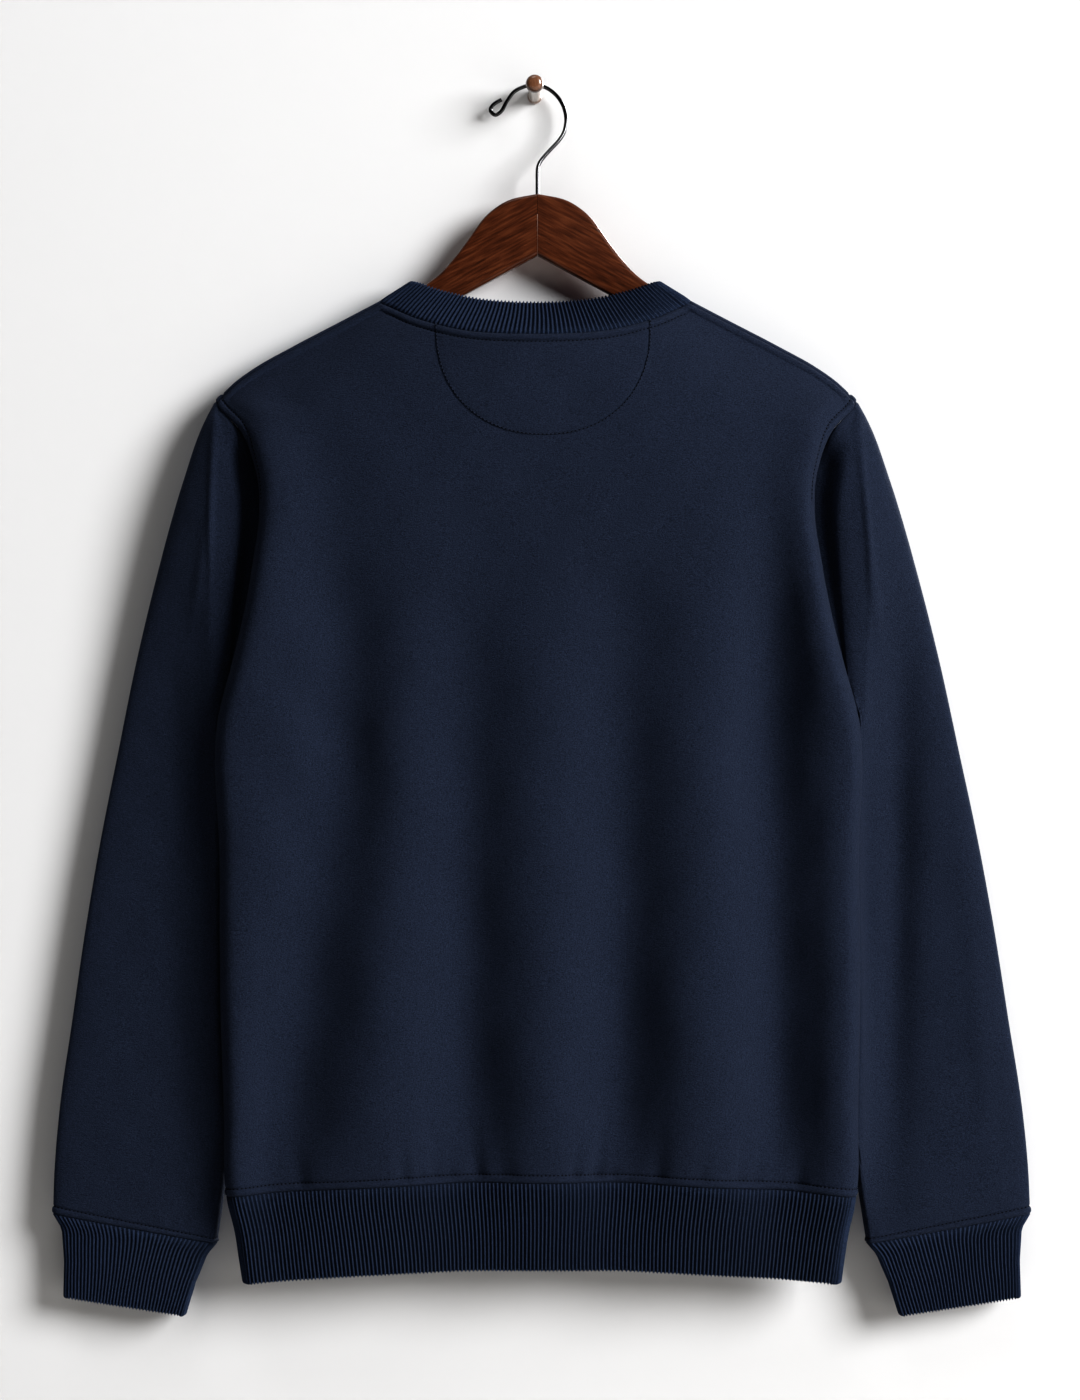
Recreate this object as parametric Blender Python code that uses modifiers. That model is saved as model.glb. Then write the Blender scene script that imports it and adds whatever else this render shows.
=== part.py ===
"""A crewneck sweatshirt on a wooden hanger that hangs from a wall peg.

Blender 4.5, metres, +Z up. The wall is the plane Y = 0, and the peg's flat back is centred on the
origin. The sweatshirt's back faces away from the wall, towards -Y, and its front faces the wall.

The sizes below are millimetres, as a pattern cutter writes them. half is the distance out from the
garment's centre line, drop the distance below the neck end of its shoulder line, and depth the
distance from the wall. Every piece of cloth is a wall: its outer points come from these sizes, and
its inner points lie one thickness further in.
"""

import bmesh
import bpy
import numpy as np
from mathutils import Matrix

MM = 0.001
GAP = 0.3  # left between two pieces at every seam

# Where the garment hangs.
NECK_POINT_Z = -150.0
CENTRE_X = 0.6
LEAN = 0.0067  # how far the centre line drifts to +X for each millimetre of drop
RAIL_DEPTH = 22.0  # the hanger's middle plane, from the wall
RAIL_ROUND = 9.5  # half the width of the cloth's arch over the hanger

CLOTH = 2.0  # thickness of the fleece
RIB_CLOTH = 3.0  # thickness of the doubled rib knit
RIB_RELIEF = 0.7  # from the bottom of a rib's groove to its crest


def rows(columns, *values):
    """A table as named columns. It is read along its first column."""
    return dict(zip(columns.split(), np.array(values, float).T))


# The top edge of the shoulders, over the hanger.
SHOULDER = rows(
    "half drop",
    (110, -0.9),
    (140, 14.8),
    (173, 32.0),
    (203, 49.0),
    (215, 57.7),
    (224, 66.2),
    (229.5, 71.5),
)
NECK_HALF = 110.0
SHOULDER_END = 229.5
SHOULDER_SLOPE = 0.53  # of the line carried on under the collar
CENTRE_ROUND = 25.0
SEAM_BEHIND = 2.5  # the shoulder seam lies this far below the top edge, on the back
FRONT_BELOW = 4.0  # first row of the front below the top edge

# One row for each level of the body. half is the armhole's line down to the armpit and the side
# seam below it; side, back and front are depths; the edge columns say how far round towards the
# side fold each panel reaches; folds grow from 0 to 1.
ARMPIT = 292.0
HEM_SEAM = 636.0
HEM_END = 697.0
BODY = rows(
    "drop half side back front back_edge front_edge folds",
    (71, 229.5, 26, 66, 9, 0.93, 0.70, 0.0),
    (76, 226.5, 27, 66, 9, 0.93, 0.70, 0.0),
    (91.5, 212.4, 28, 66, 9, 0.93, 0.70, 0.0),
    (120, 199.6, 30, 67, 9, 0.93, 0.70, 0.0),
    (154, 196.7, 33, 68, 8, 0.93, 0.70, 0.05),
    (183, 200.4, 36, 68, 8, 0.93, 0.72, 0.1),
    (218, 206.4, 39, 68, 8, 0.94, 0.80, 0.2),
    (260, 216.5, 43, 68, 8, 0.97, 0.92, 0.35),
    (292, 225.3, 46, 68, 8, 1.0, 1.0, 0.45),
    (400, 226.2, 46, 67, 8, 1.0, 1.0, 0.75),
    (500, 226.4, 46, 66, 8, 1.0, 1.0, 1.0),
    (578, 224.5, 45, 63, 8, 1.0, 1.0, 1.0),
    (636, 223.0, 44, 60, 9, 1.0, 1.0, 0.6),
    (662, 217.2, 42, 58, 9, 1.0, 1.0, 0.4),
    (697, 212.6, 38, 54, 10, 1.0, 1.0, 0.25),
)
HEM_RISE = 10.5  # how much higher the hem hangs at the centre back

# Soft vertical folds: where each trough lies at chest level and at the hem.
FOLD_TOP = 250.0
BACK_FOLDS = rows(
    "chest hem width depth",
    (-128, -162, 24, 5.5),
    (-58, -62, 22, 4.5),
    (46, 50, 22, 5.0),
    (150, 158, 22, 5.0),
)
FRONT_FOLDS = rows(
    "chest hem width depth",
    (-100, -95, 26, 3.0),
    (8, 4, 28, 2.5),
    (105, 112, 26, 3.0),
)

# Round the neck, from the centre back (place 0) over the shoulder seam (4) and the hanger (5) to
# the centre front (10): the seam, and the collar's free edge.
NECK = rows(
    "place half drop edge_half edge_drop edge_depth",
    (0, 0, 26.6, 0, 3.6, 45),
    (1, 46, 24.2, 37.5, 1.4, 43.5),
    (2, 81, 15.2, 65.5, -4.9, 38),
    (3, 102, 5.6, 83, -11.0, 33),
    (4, 110, 1.6, 88.5, -12.9, 28),
    (5, 110, -0.9, 89.5, -13.1, 22),
    (6, 110, 3.1, 88.5, -10.5, 14.5),
    (7, 104, 24.0, 81, 12.0, 12.0),
    (8, 82, 52.0, 63, 36.0, 11.5),
    (9, 46, 72.0, 35, 50.0, 11),
    (10, 0, 78.0, 0, 54.0, 11),
)

# The two folded edges of a sleeve.
SLEEVE_OUTER = rows(
    "drop half depth",
    (71.5, 229.3, 22),
    (90, 238.5, 21),
    (127.6, 251.7, 20),
    (191.9, 270.3, 20),
    (256.3, 286.4, 20),
    (320.5, 299.9, 20),
    (384.9, 313.2, 20),
    (449.3, 324.6, 20),
    (513.6, 334.3, 20),
    (578, 343.9, 20),
    (621, 347.8, 20),
    (651.5, 348.9, 20),
)
SLEEVE_INNER = rows(
    "drop half depth",
    (292, 225.3, 46),
    (295, 226.4, 42),
    (300, 225.4, 39),
    (314, 221.5, 34),
    (345, 218, 27),
    (400, 215, 23),
    (500, 214.5, 22),
    (600, 221.5, 22),
    (672.3, 231.9, 21),
)
SLEEVE_BACK = {"outer": (31.0, 30.0), "inner": (40.0, 34.0)}  # depth at the armhole and at the cuff
SLEEVE_FRONT = 7.5
CLEARANCE = 1.0  # between a sleeve and the body that it hangs behind
SLEEVE_RIDGE = 2.5  # the soft roll just outside the armhole seam
CUFF = rows(
    "along outer_half outer_drop inner_half inner_drop fullness",
    (0.0, 348.9, 651.5, 231.9, 672.3, 1.0),
    (0.16, 342.4, 661.5, 239.3, 680.5, 0.9),
    (0.55, 340.8, 685.0, 248.0, 701.0, 0.85),
    (1.0, 341.5, 709.9, 254.7, 722.8, 0.8),
)

SEAM_SPLIT = (0.31, 0.27, 0.91)  # a direction that lies across no seam

# How finely each piece is divided.
BACK_NECK_PLACES = (0, 0.5, 1, 1.5, 2, 3, 4)
FRONT_NECK_PLACES = (6, 7, 8, 8.5, 9, 9.5, 10)
SHOULDER_COLUMNS = (131, 153, 174, 193, 209, 221, SHOULDER_END)
ARMHOLE_DROPS = (80, 95, 120, 150, 185, 220, 250, 275, ARMPIT)
SIDE_DROPS = (335, 380, 425, 470, 515, 560, 600, HEM_SEAM)
SLEEVE_ROWS = (0, 0.015, 0.035, 0.06, 0.09, 0.13, 0.19, 0.27, 0.36, 0.46, 0.56, 0.66, 0.76, 0.86, 0.94, 1)
HEM_RIBS, COLLAR_RIBS, CUFF_RIBS = 308, 164, 60

# The hanger. Heights are above the neck end of the shoulder line.
HANGER_X = 2.0
HANGER_THICKNESS = 10.0
HANGER_EDGE = 2.5
HANGER_TOP = rows(
    "half height",
    (0, 76.5),
    (18.4, 72.8),
    (30.4, 66.3),
    (39.9, 57.4),
    (50.4, 42.7),
    (59.3, 31.0),
    (70.0, 19.2),
    (82, 10.2),
    (96, 1.2),
    (110, -6.5),
    (140, -21.5),
    (173, -38.6),
    (203, -55.6),
    (209, -61.5),
    (212, -68.0),
)
HANGER_UNDER = rows(
    "half height",
    (0, 32.6),
    (52.2, 4.2),
    (72, -6.5),
    (100, -21.0),
    (140, -40.0),
    (173, -57.0),
    (195, -70.5),
    (203, -75.5),
    (208, -75.5),
)
WIRE = 1.4  # radius
STEM_IN_WOOD = 14.0
PEG_RISE = 0.057  # how far the peg climbs for each millimetre out
PEG_PROFILE = rows(
    "out radius",
    (45.0, 0.0),
    (44.6, 3.4),
    (43.2, 5.5),
    (41.0, 6.3),
    (38.6, 6.2),
    (36.5, 5.0),
    (32.0, 4.7),
    (22.0, 4.6),
    (14.0, 4.5),
    (6.0, 4.5),
    (3.6, 5.1),
    (0.8, 5.2),
    (0.0, 4.9),
    (0.0, 0.0),
)
PEG_SIDES = 20
# The hook's middle line, from its curled end over the peg's root, where it slides back against the
# wall, to the wood: across from the peg's centre, height above it, and depth from the wall.
HOOK = rows(
    "across height depth",
    (-23.8, -3.6, 9.5),
    (-27.6, -5.7, 9.5),
    (-30.7, -8.3, 9.5),
    (-31.7, -11.6, 9.5),
    (-28.3, -14.6, 9.5),
    (-23.8, -11.7, 9.5),
    (-20.0, -4.9, 9.5),
    (-14.8, 2.0, 9.5),
    (-7.4, 5.8, 9.5),
    (-0.3, 6.9, 9.5),
    (6.0, 5.8, 9.5),
    (11.4, 3.0, 9.7),
    (16.5, -1.8, 10.2),
    (20.3, -8.1, 11.0),
    (22.2, -14.8, 12.2),
    (22.4, -21.5, 13.6),
    (20.8, -28.3, 15.0),
    (17.0, -34.5, 16.4),
    (10.8, -41.4, 18.2),
    (4.8, -48.6, 20.0),
    (2.5, -53.3, 21.0),
    (2.0, -58.5, 21.8),
    (2.0, -64.7, 22.0),
)
HOOK_STEPS = 3

NAVY = (0.0115, 0.0160, 0.0330)
RIB_NAVY = (0.0080, 0.0115, 0.0240)
WOOD = (0.0520, 0.0170, 0.0080)
STEEL = (0.5500, 0.5400, 0.5200)
PEG_WOOD = (0.1400, 0.0720, 0.0400)


# Reading the tables

def hermite(t, span, start, end, start_slope, end_slope):
    back = 1 - t
    return (
        (1 + 2 * t) * back**2 * start
        + t * back**2 * span * start_slope
        + t**2 * (3 - 2 * t) * end
        - t**2 * back * span * end_slope
    )


def read(table, column, at):
    """The column at a place on the table's first column, on a smooth curve through its rows."""
    keys = next(iter(table.values()))
    values = table[column]
    slopes = np.gradient(values, keys)
    at = np.clip(at, keys[0], keys[-1])
    low = np.clip(np.searchsorted(keys, at, side="right") - 1, 0, len(keys) - 2)
    span = keys[low + 1] - keys[low]
    t = (at - keys[low]) / span
    return hermite(t, span, values[low], values[low + 1], slopes[low], slopes[low + 1])


def ease(t):
    t = np.clip(t, 0, 1)
    return t * t * (3 - 2 * t)


def mix(a, b, t):
    return a + (b - a) * t


# The shape of the body

def shoulder_line(half):
    """Drop of the top edge, carried on under the collar in a soft point."""
    half = np.abs(half)
    inside = SHOULDER["drop"][0] - SHOULDER_SLOPE * (
        np.hypot(NECK_HALF, CENTRE_ROUND) - np.hypot(half, CENTRE_ROUND)
    )
    return np.where(half < NECK_HALF, inside, read(SHOULDER, "drop", half))


def over_the_rail(half, drop):
    """How far round the arch over the hanger a point lies, and how far it has left it."""
    below = drop - shoulder_line(half)
    arch = np.sqrt(1 - (1 - np.clip(below / RAIL_ROUND, 0, 1)) ** 2)
    leave = 1 - (1 - np.clip((below - RAIL_ROUND) / 190, 0, 1)) ** 3.5
    return arch, leave


def troughs(folds, half, drop):
    down = (drop - FOLD_TOP) / (HEM_SEAM - FOLD_TOP)
    total = np.zeros(np.shape(half))
    for chest, hem, width, depth in zip(*folds.values()):
        total = total + depth * np.exp(-(((half - mix(chest, hem, down)) / width) ** 2))
    inside = 1 - np.abs(half) / read(BODY, "half", drop)
    return total * read(BODY, "folds", drop) * ease(inside / 0.15)


def back_depth(half, drop):
    round_to = read(BODY, "back_edge", drop) * np.abs(half) / read(BODY, "half", drop)
    crown = (1 - np.clip(round_to, 0, 1) ** 3.5) ** (1 / 3.5)
    side = read(BODY, "side", drop)
    middle = read(BODY, "back", drop) - troughs(BACK_FOLDS, half, drop)
    arch, leave = over_the_rail(half, drop)
    return mix(RAIL_DEPTH + RAIL_ROUND * arch, mix(side, middle, crown), leave)


def front_depth(half, drop):
    round_to = np.clip(read(BODY, "front_edge", drop) * np.abs(half) / read(BODY, "half", drop), 0, 1)
    crown = 0.08 * np.sqrt(1 - round_to**6) + 0.92 * ease((0.95 - round_to) / 0.4)
    side = read(BODY, "side", drop)
    middle = read(BODY, "front", drop) + troughs(FRONT_FOLDS, half, drop)
    arch, leave = over_the_rail(half, drop)
    return mix(RAIL_DEPTH - RAIL_ROUND * arch, mix(side, middle, crown), leave)


def body_point(share, drop, depth_of):
    """A point at a share of the body's half-width: (half, drop, depth)."""
    half = share * read(BODY, "half", drop)
    return np.stack([half, drop, depth_of(half, drop)], axis=-1)


def neck_value(column, place):
    """A column of NECK at any place round the whole ring, 20 places long and even on both sides."""
    right = NECK[column]
    sign = -1 if column in ("half", "edge_half") else 1
    ring = np.concatenate([right, sign * right[-2:0:-1]])
    low = np.floor(place).astype(int)
    before, start, end, after = (ring[(low + step) % len(ring)] for step in (-1, 0, 1, 2))
    return hermite(place - low, 1, start, end, (end - before) / 2, (after - start) / 2)


def neck_point(place):
    place = np.asarray(place, float)
    half, drop = neck_value("half", place), neck_value("drop", place)
    from_back = np.abs((place + 10) % 20 - 10)
    depth = np.where(from_back <= 5, back_depth(half, drop), front_depth(half, drop))
    return np.stack([half, drop, depth], axis=-1)


def shoulder_point(half, below, depth_of):
    drop = shoulder_line(half) + below
    return body_point(half / SHOULDER_END, drop, depth_of)


def hem_drop(share, side_drop, rise):
    return side_drop - rise * (1 - share**2)


def panel(top, drops, rise, depth_of):
    """The rows of a panel from its top edge, a line of points, down to the hem seam."""
    share = top[:, 0] / read(BODY, "half", top[:, 1])
    first = top[0, 1]
    down = (np.array(drops) - first)[:, None] / (HEM_SEAM - first)
    drop = mix(top[:, 1], hem_drop(share, HEM_SEAM, rise), down)
    return np.concatenate([top[None], body_point(share, drop, depth_of)])


def back_panel():
    """One grid, its columns from -X to +X."""
    neck = np.array([*[-p for p in BACK_NECK_PLACES[:0:-1]], *BACK_NECK_PLACES])
    right = shoulder_point(np.array(SHOULDER_COLUMNS), SEAM_BEHIND, back_depth)
    left = shoulder_point(-np.array(SHOULDER_COLUMNS[::-1]), SEAM_BEHIND, back_depth)
    top = np.concatenate([left, neck_point(neck), right])
    return [panel(top, ARMHOLE_DROPS + SIDE_DROPS, HEM_RISE, back_depth)]


def front_panel():
    """The main grid, its columns from +X to -X, and a strip over each side of the hanger."""
    neck = np.array([*FRONT_NECK_PLACES, *[20 - p for p in FRONT_NECK_PLACES[-2::-1]]])
    right = np.array(SHOULDER_COLUMNS[::-1])
    top = np.concatenate([
        shoulder_point(right, FRONT_BELOW, front_depth),
        neck_point(neck),
        shoulder_point(-right[::-1], FRONT_BELOW, front_depth),
    ])
    grids = [panel(top, ARMHOLE_DROPS + SIDE_DROPS, 0, front_depth)]
    for halves in (np.append(right, NECK_HALF), -np.append(right, NECK_HALF)[::-1]):
        grids.append(np.stack([
            shoulder_point(halves, SEAM_BEHIND, back_depth),
            shoulder_point(halves, 0, back_depth),
            shoulder_point(halves, FRONT_BELOW, front_depth),
        ]))
    return grids


def hem_band():
    """A ring of three rows, along the back from -X to +X and back along the front."""
    back = back_panel()[0][-1]
    front = front_panel()[0][-1]
    ring = [np.concatenate([back, front[1:-1]])]
    for side_drop in (662.0, HEM_END):
        turns = []
        for line, rise, depth_of in ((back, HEM_RISE, back_depth), (front[1:-1], 0, front_depth)):
            share = line[:, 0] / read(BODY, "half", line[:, 1])
            turns.append(body_point(share, hem_drop(share, side_drop, rise), depth_of))
        ring.append(np.concatenate(turns))
    return [np.stack(ring)]


def collar_band():
    right = np.array([*BACK_NECK_PLACES, 5, *FRONT_NECK_PLACES], float)
    place = np.concatenate([right, 20 - right[-2:0:-1]])
    place = np.concatenate([place[place > 10], place[place <= 10]])
    seam = neck_point(place)
    edge = np.stack([neck_value(f"edge_{name}", place) for name in ("half", "drop", "depth")], axis=-1)
    # The free edge is the upper row, and the ring turns as the body's rings do.
    return [np.stack([edge, mix(seam, edge, 0.5), seam])]


# The shape of a sleeve

def along(table, share):
    """The point at a share of the way along an edge, by its length."""
    drop = np.linspace(table["drop"][0], table["drop"][-1], 120)
    line = np.stack([read(table, "half", drop), drop, read(table, "depth", drop)], axis=-1)
    length = np.concatenate([[0], np.cumsum(np.linalg.norm(np.diff(line[:, :2], axis=0), axis=1))])
    return np.array([np.interp(share * length[-1], length, line[:, i]) for i in range(3)])


def edge_lengths():
    def length(table):
        points = [along(table, share)[:2] for share in np.linspace(0, 1, 60)]
        return np.linalg.norm(np.diff(points, axis=0), axis=1).sum()

    return length(SLEEVE_OUTER), length(SLEEVE_INNER)


def armhole_ring():
    """The armhole's points, up the back from the armpit and down the front, each with its share of
    the way down from the shoulder and whether it is on the back."""
    back = back_panel()[0][: len(ARMHOLE_DROPS) + 1, -1]
    front = front_panel()[0][: len(ARMHOLE_DROPS) + 1, 0]
    top = shoulder_point(np.array([SHOULDER_END]), 0, back_depth)
    ring, shares, on_back = [], [], []
    for line, is_back in ((back, True), (front, False)):
        line = np.concatenate([top, line])
        share = np.concatenate([[0], np.cumsum(np.linalg.norm(np.diff(line[:, :2], axis=0), axis=1))])
        share /= share[-1]
        keep = slice(None, None, -1) if is_back else slice(1, -1)
        ring.append(line[keep])
        shares.append(share[keep])
        on_back.append(np.full(len(share[keep]), is_back))
    return np.concatenate(ring), np.concatenate(shares), np.concatenate(on_back)


def sleeve_depth(share, middle, down, on_back):
    """The depth of a sleeve's back or front layer at a share of the way across it."""
    fullness = (1 - np.abs(2 * share - 1) ** 5) ** 0.2
    outer, inner = (mix(*SLEEVE_BACK[edge], down) for edge in ("outer", "inner"))
    layer = np.where(on_back, mix(outer, inner, ease(share)), SLEEVE_FRONT)
    return mix(middle, layer, fullness)


def keep_clear_of_body(point, margin):
    """Moves points out past the armhole's line above the armpit, and behind the front below it."""
    above = point[:, 1] < ARMPIT
    line = read(BODY, "half", point[:, 1])
    point[:, 0] = np.where(above, np.maximum(point[:, 0], line + margin), point[:, 0])
    behind = ~above & (point[:, 0] < line + CLEARANCE)
    limit = front_depth(point[:, 0], point[:, 1]) - CLEARANCE
    point[:, 2] = np.where(behind, np.minimum(point[:, 2], limit), point[:, 2])


def sleeve_row(down, ring, share, on_back):
    """One section of the sleeve, from the armhole (down 0) to the cuff seam (down 1)."""
    outer, inner = along(SLEEVE_OUTER, down), along(SLEEVE_INNER, down)
    straight = mix(outer, inner, share[:, None])
    first = mix(along(SLEEVE_OUTER, 0), along(SLEEVE_INNER, 0), share[:, None])
    point = straight + (ring - first) * max(0, 1 - down / 0.1) ** 2
    gone = down * mix(*edge_lengths(), share)
    near, span = 18 * (1 - share**4), mix(34, 2, share**4)
    joined = 1 - ease((gone - near) / span)
    roll = SLEEVE_RIDGE * np.exp(-(((gone - 17) / 9) ** 2)) * np.sin(np.pi * share) * on_back
    roll = roll * min(1, down / 0.015)
    point[:, 2] = mix(sleeve_depth(share, straight[:, 2], down, on_back), ring[:, 2], joined) + roll
    if down > 0:
        keep_clear_of_body(point, 60 * down)
    return point


def sleeve():
    ring, share, on_back = armhole_ring()
    return [np.stack([sleeve_row(down, ring, share, on_back) for down in SLEEVE_ROWS])]


def cuff_band():
    ring, share, on_back = armhole_ring()
    seam = sleeve_row(1.0, ring, share, on_back)
    middle = mix(along(SLEEVE_OUTER, 1)[2], along(SLEEVE_INNER, 1)[2], share)
    band = []
    for _, outer_half, outer_drop, inner_half, inner_drop, fullness in zip(*CUFF.values()):
        half, drop = mix(outer_half, inner_half, share), mix(outer_drop, inner_drop, share)
        band.append(np.stack([half, drop, mix(middle, seam[:, 2], fullness)], axis=-1))
    band[0] = seam
    return [np.stack(band)]


def mirrored(grids):
    return [grid[:, ::-1] * (-1, 1, 1) for grid in grids]


# From shapes to walls

def placed(points):
    """Garment sizes to world millimetres."""
    half, drop, depth = np.moveaxis(points, -1, 0)
    return np.stack([CENTRE_X + half + LEAN * drop, -depth, NECK_POINT_Z - drop], axis=-1)


class Sheet:
    """The outer face of one piece: grids of points, welded where they meet."""

    def __init__(self, name, grids, ring=False):
        self.name = name
        grids = [placed(grid) for grid in grids]
        loose = np.concatenate([grid.reshape(-1, 3) for grid in grids])
        _, first, index = np.unique(loose.round(3), axis=0, return_index=True, return_inverse=True)
        self.points = loose[first]
        self.normals = np.zeros_like(self.points)
        self.grids, start = [], 0
        for grid in grids:
            size = grid.shape[0] * grid.shape[1]
            self.grids.append(index.reshape(-1)[start : start + size].reshape(grid.shape[:2]))
            start += size
        quads = []
        for grid in self.grids:
            wide = np.hstack([grid, grid[:, :1]]) if ring else grid
            corners = (wide[:-1, :-1], wide[1:, :-1], wide[1:, 1:], wide[:-1, 1:])
            quads.append(np.stack(corners, axis=-1).reshape(-1, 4))
        self.faces = self.split(np.concatenate(quads))

    def split(self, quads):
        """Two triangles for each quad, across its shorter diagonal, so that both sides match."""
        a, b, c, d = (self.points[quads[:, i]] for i in range(4))
        turn = np.linalg.norm(a - c, axis=1) > np.linalg.norm(b - d, axis=1) + 0.001
        quads = np.where(turn[:, None], np.roll(quads, -1, axis=1), quads)
        return np.concatenate([quads[:, [0, 1, 2]], quads[:, [0, 2, 3]]])

    def border(self):
        """Its open edges, each with the piece on its left."""
        edges = {(a, b) for face in self.faces for a, b in zip(face, np.roll(face, -1))}
        return sorted((a, b) for a, b in edges if (b, a) not in edges)

    def draw_back(self, distance):
        """Moves the border in by a distance along the cloth, mitred at corners."""
        inward = {}
        for a, b in self.border():
            step = self.points[b] - self.points[a]
            for end in (a, b):
                side = np.cross(self.normals[end], step)
                inward.setdefault(end, []).append(side / np.linalg.norm(side))
        for end, sides in inward.items():
            one, other = sides[0], sides[-1]
            self.points[end] += distance * (one + other) / max(1 + one @ other, 0.5)


def share_normals(sheets):
    """Gives each place one normal, over every piece that meets there, so that the seams close."""
    total = {}
    for sheet in sheets:
        corners = sheet.points[sheet.faces]
        facing = np.cross(corners[:, 1] - corners[:, 0], corners[:, 2] - corners[:, 0])
        for face, normal in zip(sheet.faces, facing):
            for key in map(tuple, sheet.points[face].round(2)):
                total[key] = total.get(key, 0) + normal
    for sheet in sheets:
        for i, key in enumerate(map(tuple, sheet.points.round(2))):
            sheet.normals[i] = total[key] / np.linalg.norm(total[key])


def add_mesh(name, points, faces, collection, material):
    mesh = bpy.data.meshes.new(name)
    mesh.from_pydata((points * MM).tolist(), [], [list(map(int, face)) for face in faces])
    obj = bpy.data.objects.new(name, mesh)
    collection.objects.link(obj)
    mesh.materials.append(material)
    mesh.shade_smooth()
    return obj


def add_wall(sheet, thickness, collection, material):
    """A plain piece: its outer face, its inner face, and the cut edge between them."""
    count = len(sheet.points)
    inner = sheet.points - thickness * sheet.normals
    faces = [*sheet.faces, *(sheet.faces[:, ::-1] + count)]
    for a, b in sheet.border():
        # The cut edge is split the same way on both pieces of a seam.
        if (sheet.points[b] - sheet.points[a]) @ SEAM_SPLIT > 0:
            faces += [(b, a, b + count), (a, a + count, b + count)]
        else:
            faces += [(b, a, a + count), (b, a + count, b + count)]
    return add_mesh(sheet.name, np.concatenate([sheet.points, inner]), faces, collection, material)


def round_the_ring(values, share):
    """Values given at the ring's own points, at any shares of the way round."""
    wide = np.concatenate([values, values[:1]])
    keys = np.linspace(0, 1, len(wide))
    return np.stack([np.interp(share, keys, wide[:, i]) for i in range(3)], axis=-1)


def even_shares(points, count):
    """Where count points lie, evenly spaced by length, as shares of the ring's own points."""
    wide = np.concatenate([points, points[:1]])
    length = np.concatenate([[0], np.cumsum(np.linalg.norm(np.diff(wide, axis=0), axis=1))])
    return np.interp(np.arange(count) / count * length[-1], length, np.linspace(0, 1, len(wide)))


def zip_rings(outer, inner, outer_share, inner_share):
    """Triangles between two rings of unlike counts, taking whichever point comes next."""
    faces, i, k = [], 0, 0
    outer_end, inner_end = np.append(outer_share, 1), np.append(inner_share, 1)
    while i < len(outer) or k < len(inner):
        here, there = outer[i % len(outer)], inner[k % len(inner)]
        if k == len(inner) or (i < len(outer) and outer_end[i + 1] <= inner_end[k + 1]):
            i += 1
            faces.append((there, here, outer[i % len(outer)]))
        else:
            k += 1
            faces.append((there, here, inner[k % len(inner)]))
    return faces


def add_ribbed_wall(sheet, ribs, collection, material):
    """A rib-knit ring: each rib is raised in the outer face, over a plain inner face."""
    grid = sheet.grids[0]
    levels, few = grid.shape
    many = 2 * ribs
    share = even_shares(sheet.points[grid[levels // 2]], many)
    relief = np.where(np.arange(many) % 2, -RIB_RELIEF / 2, RIB_RELIEF / 2)[:, None]
    outer, inner = [], []
    for row in grid:
        points, normals = sheet.points[row], sheet.normals[row]
        outer.append(round_the_ring(points, share) + relief * round_the_ring(normals, share))
        inner.append(points - RIB_CLOTH * normals)
    start = many * levels

    def ring_faces(count, first):
        for level in range(levels - 1):
            for i in range(count):
                a, b = first + level * count + i, first + level * count + (i + 1) % count
                yield a, a + count, b + count, b

    faces = [*ring_faces(many, 0), *(face[::-1] for face in ring_faces(few, start))]
    for level in (0, levels - 1):
        outside = np.arange(many) + level * many
        inside = np.arange(few) + start + level * few
        strip = zip_rings(outside, inside, share, np.arange(few) / few)
        faces += [face[::-1] for face in strip] if level else strip
    return add_mesh(sheet.name, np.concatenate(outer + inner), faces, collection, material)


# The hanger, its hook and the peg

def smooth_line(table, steps):
    """A smooth curve through a table's rows, steps points for each."""
    keys = np.arange(len(next(iter(table.values()))), dtype=float)
    at = np.linspace(0, keys[-1], steps * int(keys[-1]) + 1)
    return np.stack([read({"row": keys, name: table[name]}, name, at) for name in table], axis=-1)


def as_mesh(obj):
    """The object with its modifiers applied, as one welded mesh object that takes its place."""
    graph = bpy.context.evaluated_depsgraph_get()
    graph.update()
    mesh = bpy.data.meshes.new_from_object(obj.evaluated_get(graph))
    shape = bmesh.new()
    shape.from_mesh(mesh)
    bmesh.ops.remove_doubles(shape, verts=shape.verts, dist=0.00001)
    bmesh.ops.recalc_face_normals(shape, faces=shape.faces)
    shape.to_mesh(mesh)
    shape.free()
    name, home = obj.name, obj.users_collection[0]
    solid = bpy.data.objects.new(name + "_solid", mesh)
    solid.matrix_world = obj.matrix_world.copy()
    home.objects.link(solid)
    bpy.data.objects.remove(obj)
    solid.name = name
    return solid


def add_curve(name, points, collection, cyclic=False, flat=False):
    curve = bpy.data.curves.new(name, "CURVE")
    curve.dimensions = "2D" if flat else "3D"
    spline = curve.splines.new("POLY")
    spline.points.add(len(points) - 1)
    for point, place in zip(spline.points, points):
        point.co = (*place, 1)
    spline.use_cyclic_u = cyclic
    obj = bpy.data.objects.new(name, curve)
    collection.objects.link(obj)
    return obj


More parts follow.
